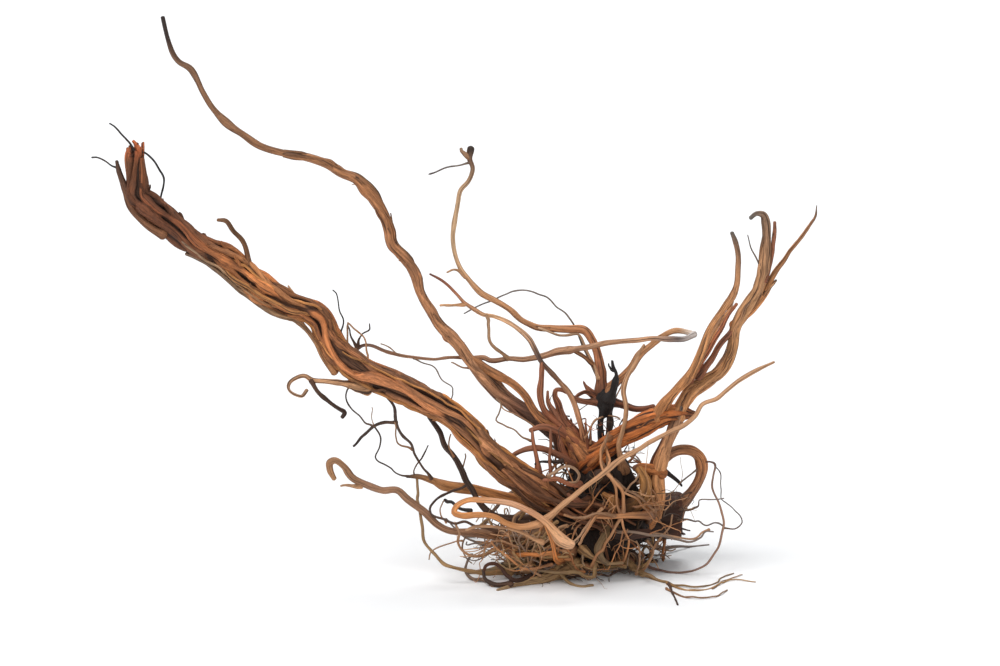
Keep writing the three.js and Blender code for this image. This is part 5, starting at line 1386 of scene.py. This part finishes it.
cluster = tubes_of(RIGHT_CLUSTER, "cluster", dict(tone="blade"))
cluster += braid("strap_strands", RIGHT_CLUSTER["strap"], 8, "strap", sizes=(0.22, 0.36),
                 ragged=0.08)
for blade, draws, count, sizes, spans in (
        ("main_blade", "main_overlays", 7, (0.9, 1.7), (0.2, 0.5)),
        ("left_blade", "left_overlays", 3, (0.8, 1.3), (0.3, 0.6))):
    cluster += overlays_of(RIGHT_CLUSTER[blade], draws, count, sizes, lambda _: "blade", spans)
build_piece("right_cluster", cluster, BARK)

hairpin = tubes_of(FRONT_HAIRPIN, "hairpin", dict(tone="peeled", depth=0.7))
build_piece("front_hairpin", hairpin, PEELED)
build_piece("left_roots", tubes_of(LEFT_ROOTS, "left_roots", dict(tone="olive")), SMOOTH)
build_piece("feet", tubes_of(FEET, "feet", dict(tone="olive", shade=1.14))
            + nubs("block_nubs", FEET["block"], 12, "block", (0.0, 0.5), (0.9, 2)), SMOOTH)
build_piece("fine_twigs", tubes_of(THREADS, "threads", dict(tone="black"))
            + tubes_of(FINE_ROOTS, "fine_roots", dict(tone="rootlet")), ROOTLET)
lump_piece("crown_core", CHARRED_AND_SHADE)


# Dark hollows in the crown's front, which few rootlets cross: x, z and radius.
HOLLOWS = [(93, 76, 10), (120, 68, 10), (75, 65, 6), (97, 35, 8), (124, 41, 7)]
HOLLOW_BACK = 8  # the y in front of which a rootlet would hide a hollow
BARE_FROM, BARE_HIGH = 152, 36  # the least x and the greatest z of the air over the bare floor
FEW = 2  # how many of a rootlet's points may lie where it shouldn't be


def blocks_hollow(route):
    """Whether a route lies across one of the crown's hollows."""
    at = np.array([point[:3] for point in route])
    at = at[at[:, 1] < HOLLOW_BACK]
    if not len(at):
        return False
    return any((np.hypot(at[:, 0] - x - CENTRE_X, at[:, 2] - z) < reach).sum() > FEW
               for x, z, reach in HOLLOWS)


def strays(route):
    """Whether a route runs out over the bare floor to the right of the block."""
    at = np.array([point[:3] for point in route])
    return ((at[:, 0] > BARE_FROM) & (at[:, 2] < BARE_HIGH)).sum() > FEW


def wrapped_roots():
    """Roots that wrap the crown's lumps, so that it is a knot of wood and not a ball."""
    made = []
    rng = rng_for("wraps")
    for _ in range(WRAPS):
        at, out = on_crown(rng, scale=rng.uniform(0.55, 0.74))
        heading = np.cross(out, rng.normal(0, 1, 3))
        radius = rng.uniform(1.8, 4.6)
        route = wander(rng, at, heading, rng.uniform(40, 80), radius, curl=0.09,
                       pull=CROWN, strength=0.22, kink=0)
        tone = rng.choice(["red", "bark", "block", "dark", "dark"])
        if not blocks_hollow(route):
            made.append(make_tube(rng, route, tone=tone, shade=rng.uniform(0.3, 0.85), flare=0.1))
    return made


def fan_roots():
    """Reddish roots that rise from the crown beside the arches, close together at their feet."""
    made = []
    rng = rng_for("fan")
    for k in range(FAN):
        top = np.array([69 + 3.4 * k, rng.uniform(-8, 12), rng.uniform(94, 116) - 0.6 * k])
        foot = np.array([86 + 2.1 * k, rng.uniform(-6, 10), rng.uniform(64, 74)])
        bow = (top + foot) / 2 + [rng.uniform(-4, 1), rng.uniform(-3, 3), rng.uniform(-4, 0)]
        thick = rng.uniform(1.2, 2.6)
        route = [[*top, thick * 0.4], [*(top * 0.7 + bow * 0.3), thick * 0.8], [*bow, thick],
                 [*foot, thick * 1.2]]
        made.append(make_tube(rng, shifted(route), tone="red", flare=0, tip="point",
                              shade=rng.uniform(0.5, 1.1)))
    return made


def splayed_strands():
    """The bundle's strands, spreading where it enters the crown."""
    made = []
    rng = rng_for("splayed")
    points, _ = smooth_path(shifted(BUNDLE["bundle"]), LONG_STEP)
    _, across, over = turning_frames(points)
    for _ in range(SPLAYED):
        k = int(len(points) * rng.uniform(0.86, 0.94))
        angle = rng.uniform(0, TURN)
        rim = across[k] * math.cos(angle) + over[k] * math.sin(angle)
        start = points[k, :3] + rim * points[k, 3] * 0.8
        end = np.array([rng.uniform(92, 138), rng.uniform(-38, 4), rng.uniform(10, 52)])
        leave = start + (points[k + 3, :3] - points[k, :3]) * 2.2 + rim * 3
        middle = (leave + end) / 2 + rng.normal(0, 4, 3)
        thick = rng.uniform(1.1, 2.6)
        route = [[*end, thick * 0.5], [*middle, thick], [*leave, thick], [*start, thick]]
        made.append(make_tube(rng, route, tone="bundle", span=(1, 0.9), flare=0,
                              shade=rng.uniform(0.4, 1.0)))
    return made


def spray(draws, count, start, heading, length, radius, tones, shades=(0.6, 1.15), **ways):
    """Rootlets whose start, heading, length and radius are drawn at random."""
    made = []
    rng = rng_for(draws)
    for _ in range(count):
        at, out = start(rng)
        route = wander(rng, at, heading(rng, out), rng.uniform(*length), rng.uniform(*radius),
                       **ways)
        look = dict(tone=rng.choice(tones), tip="point", shade=rng.uniform(*shades))
        if blocks_hollow(route) or strays(route):
            continue
        made.append(make_tube(rng, route, flare=0.3, **look))
        for branch in branches(rng, route):
            made.append(make_tube(rng, branch, flare=0.5, **look))
    return made


def within(low, high):
    """Random starts inside a box."""
    return lambda rng: ([rng.uniform(a, b) for a, b in zip(low, high)], None)


# Ways for a rootlet to set out. The second argument is the crown's outward direction there.

def tangential(rng, out):
    return np.cross(out, rng.normal(0, 1, 3)) + 0.25 * out


def leftward(rng, _):
    return [-1, rng.uniform(-0.5, 0.35), rng.uniform(-0.3, 0.25)]


def across_front(rng, _):
    angle = rng.uniform(0, TURN)
    return [math.cos(angle), rng.uniform(-0.25, 0.15), math.sin(angle)]


def outward_flat(rng, _):
    angle = rng.uniform(0, TURN)
    return [math.cos(angle), 0.6 * math.sin(angle), rng.uniform(-0.1, 0.1)]


def backward(rng, _):
    return [rng.uniform(-1, 1), rng.uniform(0.4, 1), rng.uniform(-0.3, 0.5)]


def any_way(rng, _):
    return rng.normal(0, 1, 3)


BROWNS = ["rootlet", "olive", "straw", "grey", "dark", "bark"]
build_piece("crown_wood", wrapped_roots() + fan_roots() + splayed_strands(), BARK)
build_piece("crown_rootlets_front", spray(
    "front", 60, lambda rng: on_crown(rng, True, rng.uniform(0.72, 1.0)), tangential, (26, 70),
    (0.4, 1.0), BROWNS, shades=(0.35, 0.95), pull=CROWN, strength=0.12)
    + spray("front_net", 40, within((92, -44, 26), (140, -36, 68)), across_front, (22, 62),
            (0.34, 0.6), ["cross", "straw", "cross"], shades=(0.8, 1.25), curl=0.05, kink=0.2),
    ROOTLET)
build_piece("crown_rootlets_back", spray(
    "back", 76, lambda rng: on_crown(rng, False, rng.uniform(0.8, 1.05)), tangential, (35, 90),
    (0.45, 1.2), BROWNS, pull=CROWN, strength=0.12)
    + spray("back_feet", 34, within((52, 12, 6), (146, 34, 50)), backward, (30, 72), (0.7, 1.9),
            ["bark", "rootlet", "olive", "grey", "block"], curl=0.09, level=10), ROOTLET)
build_piece("left_curls", spray(
    "left_curls", 84, within((40, -46, 5), (90, 24, 48)), leftward, (36, 84), (0.6, 1.5),
    ["straw", "cross", "olive", "rootlet", "grey", "bark"], shades=(0.9, 1.5), curl=0.12,
    level=22), ROOTLET)
build_piece("base_mat", spray(
    "base_mat", 56, within((40, -44, 1), (142, 44, 16)), outward_flat, (30, 80), (0.5, 1.3),
    ["olive", "rootlet", "grey", "block"], shades=(0.7, 1.35), curl=0.07, level=3), ROOTLET)
build_piece("upper_hairs", spray(
    "upper_hairs", 26, within((54, -16, 76), (134, 30, 108)), any_way, (16, 40), (0.35, 0.6),
    ["dark", "grey", "red"], curl=0.2)
    + spray("right_hairs", 20, within((130, -18, 24), (168, 32, 64)), any_way, (20, 48),
            (0.35, 0.7), ["grey", "rootlet", "dark"], curl=0.18), ROOTLET)


# ---------------------------------------------------------------- floor, light and camera

# The white sheet: half its width in metres, and how much light it throws back.
FLOOR_HALF, FLOOR_WHITE, FLOOR_ROUGH, FLOOR_SHINE = 12.0, 0.885, 0.9, 0.1
SKY_COLOUR, SKY_STRENGTH = (0.88, 0.94, 1.0), 0.3
# Soft lights: the direction towards each, its spread in degrees and its strength.
SUNS = {
    "key": ((-0.5, -0.3, 0.95), 34, 2.1), "overhead": ((0.0, 0.65, 1.0), 26, 1.35),
    "front": ((0.3, -1.2, 0.35), 60, 1.1),
}
# The camera's lens and sensor in millimetres, and its place in metres round the point it faces.
LENS, SENSOR, FARTHEST = 133.7, 36, 50
TARGET = Vector((0.0310, 0.0, 0.1696))
AWAY, ELEVATION = 2.6, math.radians(12)


def add_floor():
    """The white sheet that the root stands on."""
    white, _, shader = nodes_for("floor_white")
    shader.inputs["Base Color"].default_value = (FLOOR_WHITE, FLOOR_WHITE, FLOOR_WHITE, 1)
    shader.inputs["Roughness"].default_value = FLOOR_ROUGH
    shader.inputs["Specular IOR Level"].default_value = FLOOR_SHINE
    mesh = bpy.data.meshes.new("floor")
    half = FLOOR_HALF
    corners = [(-half, -half, 0), (half, -half, 0), (half, half, 0), (-half, half, 0)]
    mesh.from_pydata(corners, [], [(0, 1, 2, 3)])
    mesh.materials.append(white)
    floor = bpy.data.objects.new("floor", mesh)
    bpy.context.collection.objects.link(floor)


def add_sun(name, towards, spread, strength):
    light = bpy.data.lights.new(name, "SUN")
    light.angle = math.radians(spread)
    light.energy = strength
    holder = bpy.data.objects.new(name, light)
    holder.rotation_euler = Vector(towards).to_track_quat("Z", "Y").to_euler()
    bpy.context.collection.objects.link(holder)


def add_world():
    """The even light of the room."""
    world = bpy.data.worlds.new("studio")
    world.use_nodes = True
    background = world.node_tree.nodes["Background"]
    background.inputs["Color"].default_value = (*SKY_COLOUR, 1)
    background.inputs["Strength"].default_value = SKY_STRENGTH
    bpy.context.scene.world = world


def add_camera():
    """The photo's camera: in front of the root and a little above it."""
    camera = bpy.data.cameras.new("camera")
    camera.lens = LENS
    camera.sensor_width = SENSOR
    camera.clip_end = FARTHEST
    holder = bpy.data.objects.new("camera", camera)
    holder.location = TARGET + Vector((0, -math.cos(ELEVATION), math.sin(ELEVATION))) * AWAY
    holder.rotation_euler = (TARGET - holder.location).to_track_quat("-Z", "Y").to_euler()
    bpy.context.collection.objects.link(holder)
    bpy.context.scene.camera = holder


add_floor()
add_world()
for name, sun in SUNS.items():
    add_sun(name, *sun)
add_camera()
bpy.context.scene.view_settings.view_transform = "Standard"
